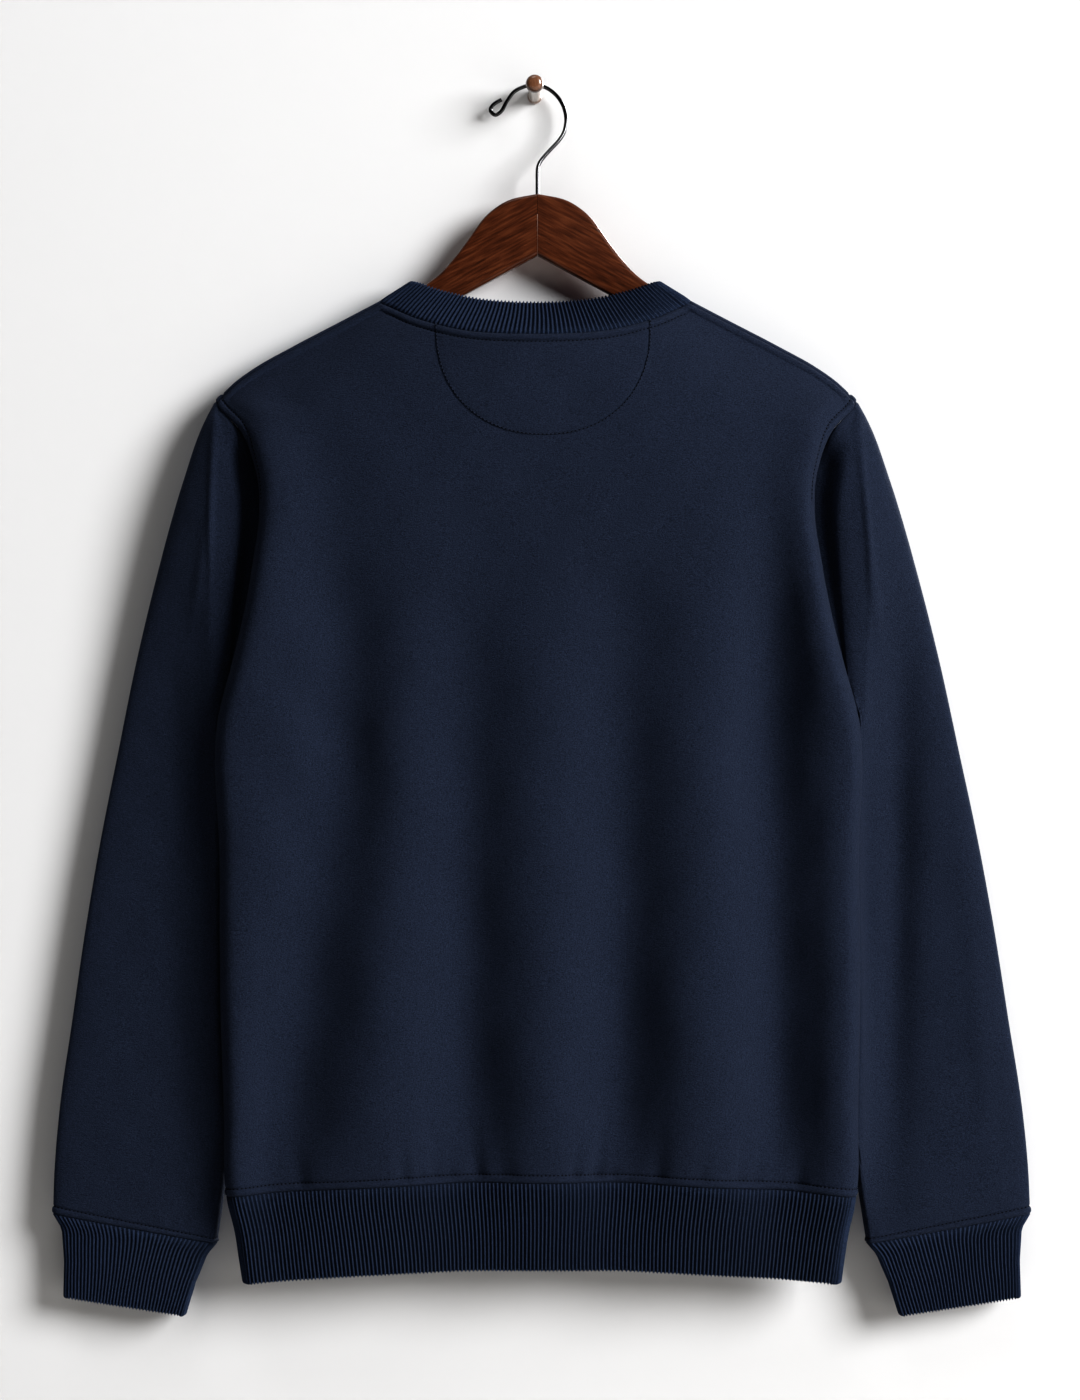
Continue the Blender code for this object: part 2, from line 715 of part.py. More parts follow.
def add_hanger_arm(side, name, collection, cutters, material):
    """Half the hanger: a flat board with rounded edges, and half of the hook's hole in its joint."""
    top = smooth_line(HANGER_TOP, 2)
    under = smooth_line(HANGER_UNDER, 2)[::-1]
    outline = np.concatenate([top, under])
    outline[:, 0] = side * np.maximum(outline[:, 0], GAP / 2)
    outline = outline * MM
    arm = add_curve(name, [(x, y, 0) for x, y in outline], collection, cyclic=True, flat=True)
    arm.data.fill_mode = "BOTH"
    arm.data.extrude = (HANGER_THICKNESS / 2 - HANGER_EDGE) * MM
    arm.data.bevel_depth = HANGER_EDGE * MM
    arm.data.bevel_resolution = 1
    arm.data.offset = -HANGER_EDGE * MM
    arm.rotation_euler = (np.pi / 2, 0, 0)
    arm.location = (HANGER_X * MM, -RAIL_DEPTH * MM, NECK_POINT_Z * MM)
    bpy.context.view_layer.update()
    arm = as_mesh(arm)
    arm.data.materials.append(material)
    crown = NECK_POINT_Z + HANGER_TOP["height"][0]
    bpy.ops.mesh.primitive_cylinder_add(
        vertices=16,
        radius=(WIRE + GAP) * MM,
        depth=2 * STEM_IN_WOOD * MM,
        location=(HANGER_X * MM, -RAIL_DEPTH * MM, crown * MM),
    )
    cutter = bpy.context.object
    cutter.name = "hook_hole_" + name
    cutter.hide_render = True
    cutter.display_type = "WIRE"
    for home in list(cutter.users_collection):
        home.objects.unlink(cutter)
    cutters.objects.link(cutter)
    hole = arm.modifiers.new("hook hole", "BOOLEAN")
    hole.operation = "DIFFERENCE"
    hole.solver = "EXACT"
    hole.object = cutter
    return arm


def add_hook(collection, material):
    line = smooth_line(HOOK, HOOK_STEPS)
    foot = NECK_POINT_Z + HANGER_TOP["height"][0] - STEM_IN_WOOD + GAP
    line = np.concatenate([line, [(HANGER_X, foot, RAIL_DEPTH)]])
    points = [(across * MM, -depth * MM, height * MM) for across, height, depth in line]
    hook = add_curve("hanger_hook", points, collection)
    hook.data.bevel_depth = WIRE * MM
    hook.data.bevel_resolution = 2
    hook.data.use_fill_caps = True
    hook.data.materials.append(material)
    return hook


def add_peg(collection, material):
    """A turned peg, leaned up a little while its back stays flat on the wall."""
    profile = bpy.data.meshes.new("wall_peg")
    points = [(r * MM, 0, z * MM) for z, r in zip(*PEG_PROFILE.values())]
    profile.from_pydata(points, [(i, i + 1) for i in range(len(points) - 1)], [])
    peg = bpy.data.objects.new("wall_peg", profile)
    collection.objects.link(peg)
    turn = peg.modifiers.new("turn", "SCREW")
    turn.steps = turn.render_steps = PEG_SIDES
    turn.use_merge_vertices = True
    turn.merge_threshold = 0.00001
    peg = as_mesh(peg)
    peg.data.transform(Matrix.Rotation(np.pi / 2, 4, "X"))
    lean = Matrix.Identity(4)
    lean[2][1] = -PEG_RISE
    peg.data.transform(lean)
    peg.data.materials.append(material)
    peg.data.shade_smooth()
    return peg


def add_material(name, colour, roughness, metallic=0.0):
    material = bpy.data.materials.new(name)
    material.use_nodes = True
    surface = material.node_tree.nodes["Principled BSDF"]
    surface.inputs["Base Color"].default_value = (*colour, 1)
    surface.inputs["Roughness"].default_value = roughness
    surface.inputs["Metallic"].default_value = metallic
    return material


def main():
    for obj in list(bpy.data.objects):
        bpy.data.objects.remove(obj)
    parts = bpy.data.collections.new("sweatshirt_on_hanger")
    cutters = bpy.data.collections.new("cutters")
    for collection in (parts, cutters):
        bpy.context.scene.collection.children.link(collection)

    right_sleeve, right_cuff = sleeve(), cuff_band()
    plain = [
        Sheet("back_panel", back_panel()),
        Sheet("front_panel", front_panel()),
        Sheet("sleeve_right", right_sleeve, ring=True),
        Sheet("sleeve_left", mirrored(right_sleeve), ring=True),
    ]
    ribbed = [
        (Sheet("collar_rib", collar_band(), ring=True), COLLAR_RIBS),
        (Sheet("hem_rib", hem_band(), ring=True), HEM_RIBS),
        (Sheet("cuff_right", right_cuff, ring=True), CUFF_RIBS),
        (Sheet("cuff_left", mirrored(right_cuff), ring=True), CUFF_RIBS),
    ]
    sheets = plain + [sheet for sheet, _ in ribbed]
    share_normals(sheets)
    for sheet in sheets:
        sheet.draw_back(GAP / 2)
    for sheet in plain:
        add_wall(sheet, CLOTH, parts, add_material(sheet.name, NAVY, 0.95))
    for sheet, ribs in ribbed:
        add_ribbed_wall(sheet, ribs, parts, add_material(sheet.name, RIB_NAVY, 0.95))

    wood = add_material("varnished_wood", WOOD, 0.3)
    add_hanger_arm(-1, "hanger_arm_left", parts, cutters, wood)
    add_hanger_arm(1, "hanger_arm_right", parts, cutters, wood.copy())
    add_hook(parts, add_material("steel_wire", STEEL, 0.25, metallic=1.0))
    add_peg(parts, add_material("peg_wood", PEG_WOOD, 0.35))


main()
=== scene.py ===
"""The looks of a crewneck sweatshirt that hangs on a wooden hanger and a peg, its back outwards.

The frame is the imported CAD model: metres, +Z up, the wall in the plane Y = 0, the origin at the
peg's back. As in the CAD source, the garment's own sizes are millimetres: half is the distance out
from its centre line, drop the distance below the neck end of its shoulder line, and depth the
distance from the wall. The same tables and functions give the surface, here on finer grids, with
the seams' puffed strips, stitches, creases and ribs added.
"""

import math

import bmesh
import bpy
import numpy as np
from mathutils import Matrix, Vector

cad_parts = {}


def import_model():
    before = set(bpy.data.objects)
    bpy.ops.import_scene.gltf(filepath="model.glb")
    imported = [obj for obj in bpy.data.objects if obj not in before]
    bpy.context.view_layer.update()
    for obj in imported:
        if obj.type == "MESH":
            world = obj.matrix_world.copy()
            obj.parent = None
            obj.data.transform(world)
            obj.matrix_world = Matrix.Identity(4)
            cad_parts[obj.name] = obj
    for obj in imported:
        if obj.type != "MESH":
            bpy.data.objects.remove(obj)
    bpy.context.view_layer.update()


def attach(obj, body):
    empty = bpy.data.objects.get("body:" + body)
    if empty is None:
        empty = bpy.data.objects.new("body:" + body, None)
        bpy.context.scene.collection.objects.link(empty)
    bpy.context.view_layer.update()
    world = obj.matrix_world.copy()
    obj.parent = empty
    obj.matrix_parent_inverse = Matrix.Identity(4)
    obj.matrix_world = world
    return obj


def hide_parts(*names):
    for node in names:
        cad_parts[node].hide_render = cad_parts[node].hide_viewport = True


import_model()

MM = 0.001

# Where the garment hangs.
NECK_POINT_Z = -150.0
CENTRE_X = 0.6
LEAN = 0.0067  # how far the centre line drifts to +X for each millimetre of drop
RAIL_DEPTH = 22.0  # the hanger's middle plane, from the wall
RAIL_ROUND = 9.5  # half the width of the cloth's arch over the hanger

CLOTH = 2.0  # thickness of the fleece
RIB_CLOTH = 3.0  # thickness of the doubled rib knit


def rows(columns, *values):
    """A table as named columns. It is read along its first column."""
    return dict(zip(columns.split(), np.array(values, float).T))


# The top edge of the shoulders, over the hanger.
SHOULDER = rows(
    "half drop",
    (110, -0.9), (140, 14.8), (173, 32), (203, 49), (215, 57.7), (224, 66.2), (229.5, 71.5),
)
NECK_HALF = 110.0
SHOULDER_END = 229.5
SHOULDER_SLOPE = 0.53  # of the line carried on under the collar
CENTRE_ROUND = 25.0
SEAM_BEHIND = 2.5  # the shoulder seam lies this far below the top edge, on the back
FRONT_BELOW = 4.0  # first row of the front below the top edge

# One row for each level of the body. half is the armhole's line down to the armpit and the side
# seam below it; side, back and front are depths; the edge columns say how far round towards the
# side fold each panel reaches; folds grow from 0 to 1.
ARMPIT = 292.0
HEM_SEAM = 636.0
HEM_END = 697.0
BODY = rows(
    "drop half side back front back_edge front_edge folds",
    (71, 229.5, 26, 66, 9, 0.93, 0.70, 0),
    (76, 226.5, 27, 66, 9, 0.93, 0.70, 0),
    (91.5, 212.4, 28, 66, 9, 0.93, 0.70, 0),
    (120, 199.6, 30, 67, 9, 0.93, 0.70, 0),
    (154, 196.7, 33, 68, 8, 0.93, 0.70, 0.05),
    (183, 200.4, 36, 68, 8, 0.93, 0.72, 0.1),
    (218, 206.4, 39, 68, 8, 0.94, 0.80, 0.32),
    (260, 216.5, 43, 68, 8, 0.95, 0.92, 0.48),
    (292, 225.3, 46, 68, 8, 0.96, 1, 0.66),
    (400, 226.2, 46, 67, 8, 0.97, 1, 0.96),
    (500, 226.4, 46, 66, 8, 0.97, 1, 1.08),
    (578, 224.5, 45, 63, 8, 0.97, 1, 1.06),
    (636, 223, 44, 60, 9, 0.97, 1, 0.6),
    (662, 217.2, 42, 58, 9, 0.97, 1, 0.4),
    (697, 212.6, 38, 54, 10, 0.97, 1, 0.25),
)
BACK_ROLL = 12.0  # how far in from its edge the back starts to roll
ROLL_START, ROLL_GROWS = 82.0, 35.0  # the drop at which the roll starts, and is full after
HEM_RISE = 10.5  # how much higher the hem hangs at the centre back
FRONT_RISE = 4.5  # and at the centre front, so that it stays hidden

# Soft vertical folds: where each trough lies at chest level and at the hem.
FOLD_TOP = 250.0
BACK_FOLDS = rows(
    "chest hem width depth",
    (-130, -186, 33, 16.5),
    (-50, -52, 33, 19),
    (60, 55, 33, 20.5),
    (163, 170, 29, 21.5),
)
FRONT_FOLDS = rows(
    "chest hem width depth",
    (-100, -95, 26, 3),
    (8, 4, 28, 2.5),
    (105, 112, 26, 3),
)

# Round the neck, from the centre back (place 0) over the shoulder seam (4) and the hanger (5) to
# the centre front (10): the seam, and the collar's free edge.
NECK = rows(
    "place half drop edge_half edge_drop edge_depth",
    (0, 0, 26.6, 0, 3.6, 45),
    (1, 46, 24.2, 37.5, 1.4, 43.5),
    (2, 81, 15.2, 65.5, -4.9, 38),
    (3, 102, 5.6, 83, -11, 33),
    (4, 110, 1.6, 88.5, -12.9, 28),
    (5, 110, -0.9, 89.5, -13.1, 22),
    (6, 110, 3.1, 88.5, -10.5, 14.5),
    (7, 104, 24, 81, 12, 12),
    (8, 82, 52, 63, 36, 11.5),
    (9, 46, 72, 35, 50, 11),
    (10, 0, 78, 0, 54, 11),
)

# The two folded edges of a sleeve.
SLEEVE_OUTER = rows(
    "drop half depth",
    (71.5, 229.3, 22), (90, 238.5, 21), (127.6, 251.7, 20), (191.9, 270.3, 20),
    (256.3, 286.4, 20), (320.5, 299.9, 20), (384.9, 313.2, 20), (449.3, 324.6, 20),
    (513.6, 334.3, 20), (578, 343.9, 20), (621, 347.8, 20), (651.5, 348.9, 20),
)
SLEEVE_INNER = rows(
    "drop half depth",
    (292, 225.3, 46), (295, 225.4, 42), (300, 223, 39), (314, 219.5, 34), (345, 217, 27),
    (400, 215, 23), (500, 214.5, 22), (600, 221.5, 22), (672.3, 231.9, 21),
)
SLEEVE_BACK = {"outer": (31.0, 30.0), "inner": (36.0, 33.0)}  # depth at the armhole and at the cuff
# The crest that each sleeve breaks over: from the shoulder's end down to the armpit, then close
# beside the body, its height, and how far it reaches towards the sleeve's outer edge on the left
# and right.
CREST = rows(
    "drop at_left at_right height left right",
    (66, 226.5, 227.5, 4, 14, 12),
    (80, 227.4, 228.2, 8, 18, 16),
    (109, 229.2, 229.8, 12, 26, 22),
    (143, 230.6, 232.2, 15, 34, 28),
    (186, 231, 235, 15.5, 38, 32),
    (215, 231, 235, 14.5, 38, 32),
    (250, 231, 232.5, 13, 36, 26),
    (292, 230, 230, 11, 28, 16),
    (340, 229, 227.5, 10.5, 20, 8),
    (560, 228.5, 227, 11.5, 17, 6),
    (620, 227, 226, 8, 16, 6),
    (660, 225, 225, 0, 16, 6),
    (800, 225, 225, 0, 16, 6),
)
CREST_ROUND = 1.5
CREST_PINCH = 1.7  # a sharp line stands up this much along it
PINCH_WIDTH = 2.0
PINCH_END = 225.0
# How the sleeve rises from the armhole's seam to the crest.
RISE = rows("way share", (0, 0), (0.2, 0.44), (0.4, 0.79), (0.55, 0.915), (0.75, 0.972), (1, 1))
SLEEVE_LEAN = {"left": -1.5, "right": 3.0}  # how far a sleeve's outer side is turned to the camera
SLEEVE_FRONT = 7.5  # depth of its front layer
CLEARANCE = 1.0  # between a sleeve and the body that it hangs behind
CUFF = rows(
    "along outer_half outer_drop inner_half inner_drop fullness",
    (0, 348.9, 651.5, 231.9, 672.3, 1),
    (0.16, 342.4, 661.5, 239.3, 680.5, 0.9),
    (0.55, 340.8, 685, 248, 701, 0.85),
    (1, 341.5, 709.9, 254.7, 722.8, 0.8),
)

# The hanger. Heights are above the neck end of the shoulder line.
HANGER_X = 2.0
HANGER_THICKNESS = 10.0
HANGER_EDGE = 2.5
HANGER_TOP = rows(
    "half height",
    (0, 76.5), (18.4, 72.8), (30.4, 66.3), (39.9, 57.4), (50.4, 42.7), (59.3, 31),
    (70, 19.2), (82, 10.2), (96, 1.2), (110, -6.5), (140, -21.5), (173, -38.6), (203, -55.6),
    (209, -61.5), (212, -68),
)
HANGER_UNDER = rows(
    "half height",
    (0, 32.6), (52.2, 4.2), (72, -6.5), (100, -21), (140, -40), (173, -57), (195, -70.5),
    (203, -75.5), (208, -75.5),
)
WIRE = 1.4  # radius
STEM_IN_WOOD = 14.0
PEG_SIDES = 64
PEG_RISE = 0.057  # how far the peg climbs for each millimetre out
PEG_PROFILE = rows(
    "out radius",
    (45, 0), (44.6, 3.4), (43.2, 5.5), (41, 6.3), (38.6, 6.2), (36.5, 5), (32, 4.7),
    (22, 4.6), (14, 4.5), (6, 4.5), (3.6, 5.1), (0.8, 5.2), (0, 4.9), (0, 0),
)
# The hook's middle line, from its curled end over the peg's root, where it slides back against the
# wall, to the wood: across from the peg's centre, height above it, and depth from the wall.
HOOK = rows(
    "across height depth",
    (-23.8, -3.6, 9.5), (-27.6, -5.7, 9.5), (-30.7, -8.3, 9.5), (-31.7, -11.6, 9.5),
    (-28.3, -14.6, 9.5), (-23.8, -11.7, 9.5), (-20, -4.9, 9.5), (-14.8, 2, 9.5),
    (-7.4, 5.8, 9.5), (-0.3, 6.9, 9.5), (6, 5.8, 9.5), (11.4, 3, 9.7), (16.5, -1.8, 10.2),
    (20.3, -8.1, 11), (22.2, -14.8, 12.2), (22.4, -21.5, 13.6), (20.8, -28.3, 15),
    (17, -34.5, 16.4), (10.8, -41.4, 18.2), (4.8, -48.6, 20), (2.5, -53.3, 21),
    (2, -58.5, 21.8), (2, -64.7, 22),
)


# Reading the tables

def hermite(t, span, start, end, start_slope, end_slope):
    back = 1 - t
    return (
        (1 + 2 * t) * back**2 * start
        + t * back**2 * span * start_slope
        + t**2 * (3 - 2 * t) * end
        - t**2 * back * span * end_slope
    )


def read(table, column, at):
    """The column at a place on the table's first column, on a smooth curve through its rows."""
    keys = next(iter(table.values()))
    values = table[column]
    slopes = np.gradient(values, keys)
    at = np.clip(at, keys[0], keys[-1])
    low = np.clip(np.searchsorted(keys, at, side="right") - 1, 0, len(keys) - 2)
    span = keys[low + 1] - keys[low]
    t = (at - keys[low]) / span
    return hermite(t, span, values[low], values[low + 1], slopes[low], slopes[low + 1])


def ease(t):
    t = np.clip(t, 0, 1)
    return t * t * (3 - 2 * t)


def mix(a, b, t):
    return a + (b - a) * t


def bell(away, width):
    """1 in the middle, and next to nothing two widths away."""
    return np.exp(-((away / width) ** 2))


def between(at, keys, points):
    """Points given at keys, at other places between them."""
    return np.stack([np.interp(at, keys, points[:, i]) for i in range(3)], axis=-1)


# The shape of the body

def shoulder_line(half):
    """Drop of the top edge, carried on under the collar in a soft point."""
    half = np.abs(half)
    inside = SHOULDER["drop"][0] - SHOULDER_SLOPE * (
        np.hypot(NECK_HALF, CENTRE_ROUND) - np.hypot(half, CENTRE_ROUND)
    )
    return np.where(half < NECK_HALF, inside, read(SHOULDER, "drop", half))


def over_the_rail(half, drop):
    """How far round the arch over the hanger a point lies, and how far it has left it."""
    below = drop - shoulder_line(half)
    arch = np.sqrt(1 - (1 - np.clip(below / RAIL_ROUND, 0, 1)) ** 2)
    leave = 1 - (1 - np.clip((below - RAIL_ROUND) / 190, 0, 1)) ** 3.5
    return arch, leave


def troughs(folds, half, drop):
    down = (drop - FOLD_TOP) / (HEM_SEAM - FOLD_TOP)
    total = np.zeros(np.shape(half))
    for chest, hem, width, depth in zip(*folds.values()):
        total = total + depth * bell(half - mix(chest, hem, down), width)
    inside = 1 - np.abs(half) / read(BODY, "half", drop)
    return total * read(BODY, "folds", drop) * ease(inside / 0.15)


def back_depth(half, drop):
    """The back, full nearly to its edge, then rolled in to the side's depth."""
    edge, line = read(BODY, "back_edge", drop), read(BODY, "half", drop)
    crown, crown_at_edge = (
        (1 - np.clip(part, 0, 1) ** 6) ** (1 / 6) for part in (edge * np.abs(half) / line, edge)
    )
    side, full = read(BODY, "side", drop), read(BODY, "back", drop)
    arch, leave = over_the_rail(half, drop)
    rolled = 1 - np.sqrt(1 - np.clip(1 - (line - np.abs(half)) / BACK_ROLL, 0, 1) ** 2)
    rolled = rolled * ease((drop - ROLL_START) / ROLL_GROWS) * (full - side) * crown_at_edge
    middle = full - troughs(BACK_FOLDS, half, drop)
    return mix(RAIL_DEPTH + RAIL_ROUND * arch, mix(side, middle, crown) - rolled, leave)


def front_depth(half, drop):
    edge, line = read(BODY, "front_edge", drop), read(BODY, "half", drop)
    round_to = np.clip(edge * np.abs(half) / line, 0, 1)
    crown = 0.08 * np.sqrt(1 - round_to**6) + 0.92 * ease((0.95 - round_to) / 0.4)
    side = read(BODY, "side", drop)
    middle = read(BODY, "front", drop) + troughs(FRONT_FOLDS, half, drop)
    arch, leave = over_the_rail(half, drop)
    return mix(RAIL_DEPTH - RAIL_ROUND * arch, mix(side, middle, crown), leave)


def on_body(half, drop, depth_of=back_depth):
    """Points on the back or the front: (half, drop, depth)."""
    return np.stack([half, drop, depth_of(half, drop)], axis=-1)


def body_point(share, drop, depth_of):
    """A point at a share of the body's half-width."""
    return on_body(share * read(BODY, "half", drop), drop, depth_of)


def neck_value(column, place):
    """A column of NECK at any place round the whole ring, 20 places long and even on both sides."""
    right = NECK[column]
    sign = -1 if column in ("half", "edge_half") else 1
    ring = np.concatenate([right, sign * right[-2:0:-1]])
    low = np.floor(place).astype(int)
    before, start, end, after = (ring[(low + step) % len(ring)] for step in (-1, 0, 1, 2))
    return hermite(place - low, 1, start, end, (end - before) / 2, (after - start) / 2)


def neck_point(place):
    place = np.asarray(place, float)
    half, drop = neck_value("half", place), neck_value("drop", place)
    from_back = np.abs((place + 10) % 20 - 10)
    depth = np.where(from_back <= 5, back_depth(half, drop), front_depth(half, drop))
    return np.stack([half, drop, depth], axis=-1)


def hem_drop(share, side_drop, rise):
    return side_drop - rise * (1 - share**2)


def world(points):
    """Garment sizes to world millimetres."""
    half, drop, depth = np.moveaxis(points, -1, 0)
    return np.stack([CENTRE_X + half + LEAN * drop, -depth, NECK_POINT_Z - drop], axis=-1)


def length_along(line):
    return np.concatenate([[0], np.cumsum(np.linalg.norm(np.diff(line, axis=0), axis=1))])


def unit(vectors):
    return vectors / np.maximum(np.linalg.norm(vectors, axis=-1, keepdims=True), 1e-9)


# Sewing and creases

STRIP = 5.6  # from a seam to the topstitching beside it
STRIP_PUFF = 0.9
SEAM_DIP = 0.9
STITCH_DIP = 0.8
ARMHOLE_PUFF = 0.4  # the armhole's strip is pressed flatter, and almost flat from PUFF_END
PUFF_END = 105.0
STITCHES_SHOW = 150.0  # the drop at which the armhole's stitches go in under the rolled edge
ARMHOLE_RIDGE = 6.0  # the back stands this proud beside the armhole's strip
RIDGE_IN = 11.0
SEAM_STEPS = np.array([0, 0.6, 1.3, 2.3, 3.4, 4.5, 5.1, 5.6, 6.1, 6.8, 8.2, 10.0])
STITCH_STEP = 7  # the one that the topstitching runs along

# The facing inside the back of the neck: its sewn edge shows as a half-moon.
MOON_X = 5.3
MOON_HALF = 75.5
MOON_TOP = 22.0
MOON_DEPTH = 76.3
MOON_FULLNESS = 2.2
MOON_LIFT = 0.7  # its stitches lie in a groove too narrow for the cloth's own grid
FAR = 99.0  # from an edge that has no part in a line

# Small puckers where the body's cloth is eased onto the hem rib.
PUCKERS = rows(
    "half up width depth",
    (-170, 24, 6, 2.4), (-96, 24, 5, 2.8), (-84, 16, 4, 2.2), (-74, 34, 6, 3.2),
    (-64, 14, 4, 2.2), (-45, 24, 5, 3), (-26, 30, 9, 2.6), (24, 20, 4, 2.4), (40, 34, 5, 4.2),
    (50, 16, 4, 2), (82, 30, 6, 2.8), (112, 18, 5, 1.6), (141, 26, 6, 2.8), (152, 18, 4, 2),
    (181, 28, 6, 2.6),
)
# Long soft creases: one end, the other, their width and height (a trough is negative).
CREASE = "half drop half_end drop_end width height"
BACK_CREASES = rows(
    CREASE,
    (-150, 80, -128, 440, 26, -6.5),
    (172, 70, 158, 430, 24, -8),
    (-196, 250, -120, 330, 16, -1.6),
    (-205, 300, -150, 420, 18, -1.4),
    (204, 255, 130, 330, 16, -1.4),
    (212, 300, 170, 430, 18, -1.5),
    (-120, 90, -60, 150, 26, 1.2),
    (128, 95, 62, 160, 26, 1.2),
    (-20, 330, -36, 560, 20, 1.2),
    (92, 420, 104, 600, 20, 1.4),
    (-112, 400, -116, 600, 18, 1.4),
)
FRONT_CREASES = rows(
    CREASE,
    (-196, 260, -110, 340, 18, -1.4),
    (200, 250, 120, 350, 18, -1.4),
    (-60, 120, -40, 240, 24, 1),
    (50, 200, 70, 420, 24, -1.2),
)
LEFT_SLEEVE_CREASES = rows(
    CREASE,
    (232, 150, 246, 240, 4, 1),
    (262, 250, 250, 420, 9, -1.2),
    (268, 320, 250, 640, 12, -1),
    (228, 330, 262, 300, 8, -1),
)
RIGHT_SLEEVE_CREASES = rows(
    CREASE,
    (232, 150, 243, 250, 4, 1.2),
    (262, 200, 246, 680, 14, -7),
    (300, 330, 322, 640, 9, 1.4),
    (228, 330, 262, 300, 8, -1),
)


WAVES = rows(
    "height half drop start",
    (0.35, 17, 41, 1.3), (0.30, 29, -23, 0.4), (0.22, -11, 15, 2.2), (0.14, 6.5, 9.5, 5.1),
)


def creases(table, half, drop):
    """The height of a table's creases at a point, each fading towards its ends."""
    total = np.zeros(np.broadcast(half, drop).shape)
    for a, b, c, d, width, height in zip(*table.values()):
        length = math.hypot(c - a, d - b)
        across = ((half - a) * (d - b) - (drop - b) * (c - a)) / length
        gone = ((half - a) * (c - a) + (drop - b) * (d - b)) / length**2
        fade = np.clip(1 - (2 * gone - 1) ** 2, 0, 1)
        total = total + height * fade * bell(across, width)
    return total


def unevenness(half, drop):
    """The slight waviness of cloth that nothing stretches."""
    return sum(
        size * np.sin(half / wide + drop / long + start)
        for size, wide, long, start in zip(*WAVES.values())
    )


def strip_relief(away, puff=STRIP_PUFF, stitch=STITCH_DIP):
    """A topstitched seam: a dip at the seam, a puffed strip, and a dip under the stitches."""
    raised = np.sin(np.pi * np.clip(away / STRIP, 0, 1)) ** 0.7
    return puff * raised - SEAM_DIP * bell(away, 0.9) - stitch * bell(away - STRIP, 0.6)


def moon_distance(half, drop):
    """How far inside the half-moon's stitch line a point lies."""
    power = MOON_FULLNESS
    x = np.maximum(np.abs(half - MOON_X), 0.01) / MOON_HALF
    y = np.maximum(drop - MOON_TOP, 0.01) / MOON_DEPTH
    size = (x**power + y**power) ** (1 / power)
    slope = np.hypot(x ** (power - 1) / MOON_HALF, y ** (power - 1) / MOON_DEPTH)
    return (1 - size) / (slope * size ** (1 - power))


def body_relief(half, drop, from_edge, from_top, from_hem, table):
    armhole = ease((ARMPIT + 4 - drop) / 8)
    calm = ease(from_edge / 14) * ease(from_top / 14) * ease((from_hem - 1) / 7)
    ridge = bell(from_edge - RIDGE_IN, np.where(from_edge > RIDGE_IN, 22, 8))
    puckers = np.zeros(np.shape(half))
    for place, up, width, depth in zip(*PUCKERS.values()):
        lean = place + 0.12 * (from_hem - 6) * np.sign(place)
        rise = np.exp(-1.6 * np.clip(from_hem - STRIP, 0, None) / up)
        puckers = puckers - depth * rise * bell(half - lean, width)
    return (
        strip_relief(from_edge, ARMHOLE_PUFF) * armhole * (1 - 0.9 * ease((drop - PUFF_END) / 40))
        + ARMHOLE_RIDGE * ridge * ease(from_top / 35) * ease((ARMPIT + 60 - drop) / 150)
        + strip_relief(from_hem)
        + puckers * ease((from_hem - 1) / 5) * ease(from_edge / 14)
        + (creases(table, half, drop) + unevenness(half, drop)) * calm
    )


def back_relief(half, drop, from_edge, from_top, from_hem):
    inside = moon_distance(half, drop)
    moon = 0.45 * ease((inside + 0.8) / 1.6) - 0.55 * bell(inside, 0.8)
    at_neck = ease((NECK_HALF + 4 - np.abs(half)) / 4)
    return (
        body_relief(half, drop, from_edge, from_top, from_hem, BACK_CREASES)
        + mix(strip_relief(from_top, 0.6, 0.0), strip_relief(from_top, 1.35, 1.1), at_neck)
        + moon * ease(from_top / 3)
    )


# Welded sheets of cloth

def closed(grid):
    """A grid whose rows each come back to their first point."""
    return np.hstack([grid, grid[:, :1]])


def quads(grid):
    """The four corners of each cell in a grid of point numbers."""
    corners = (grid[:-1, :-1], grid[1:, :-1], grid[1:, 1:], grid[:-1, 1:])
    return np.stack(corners, axis=-1).reshape(-1, 4)


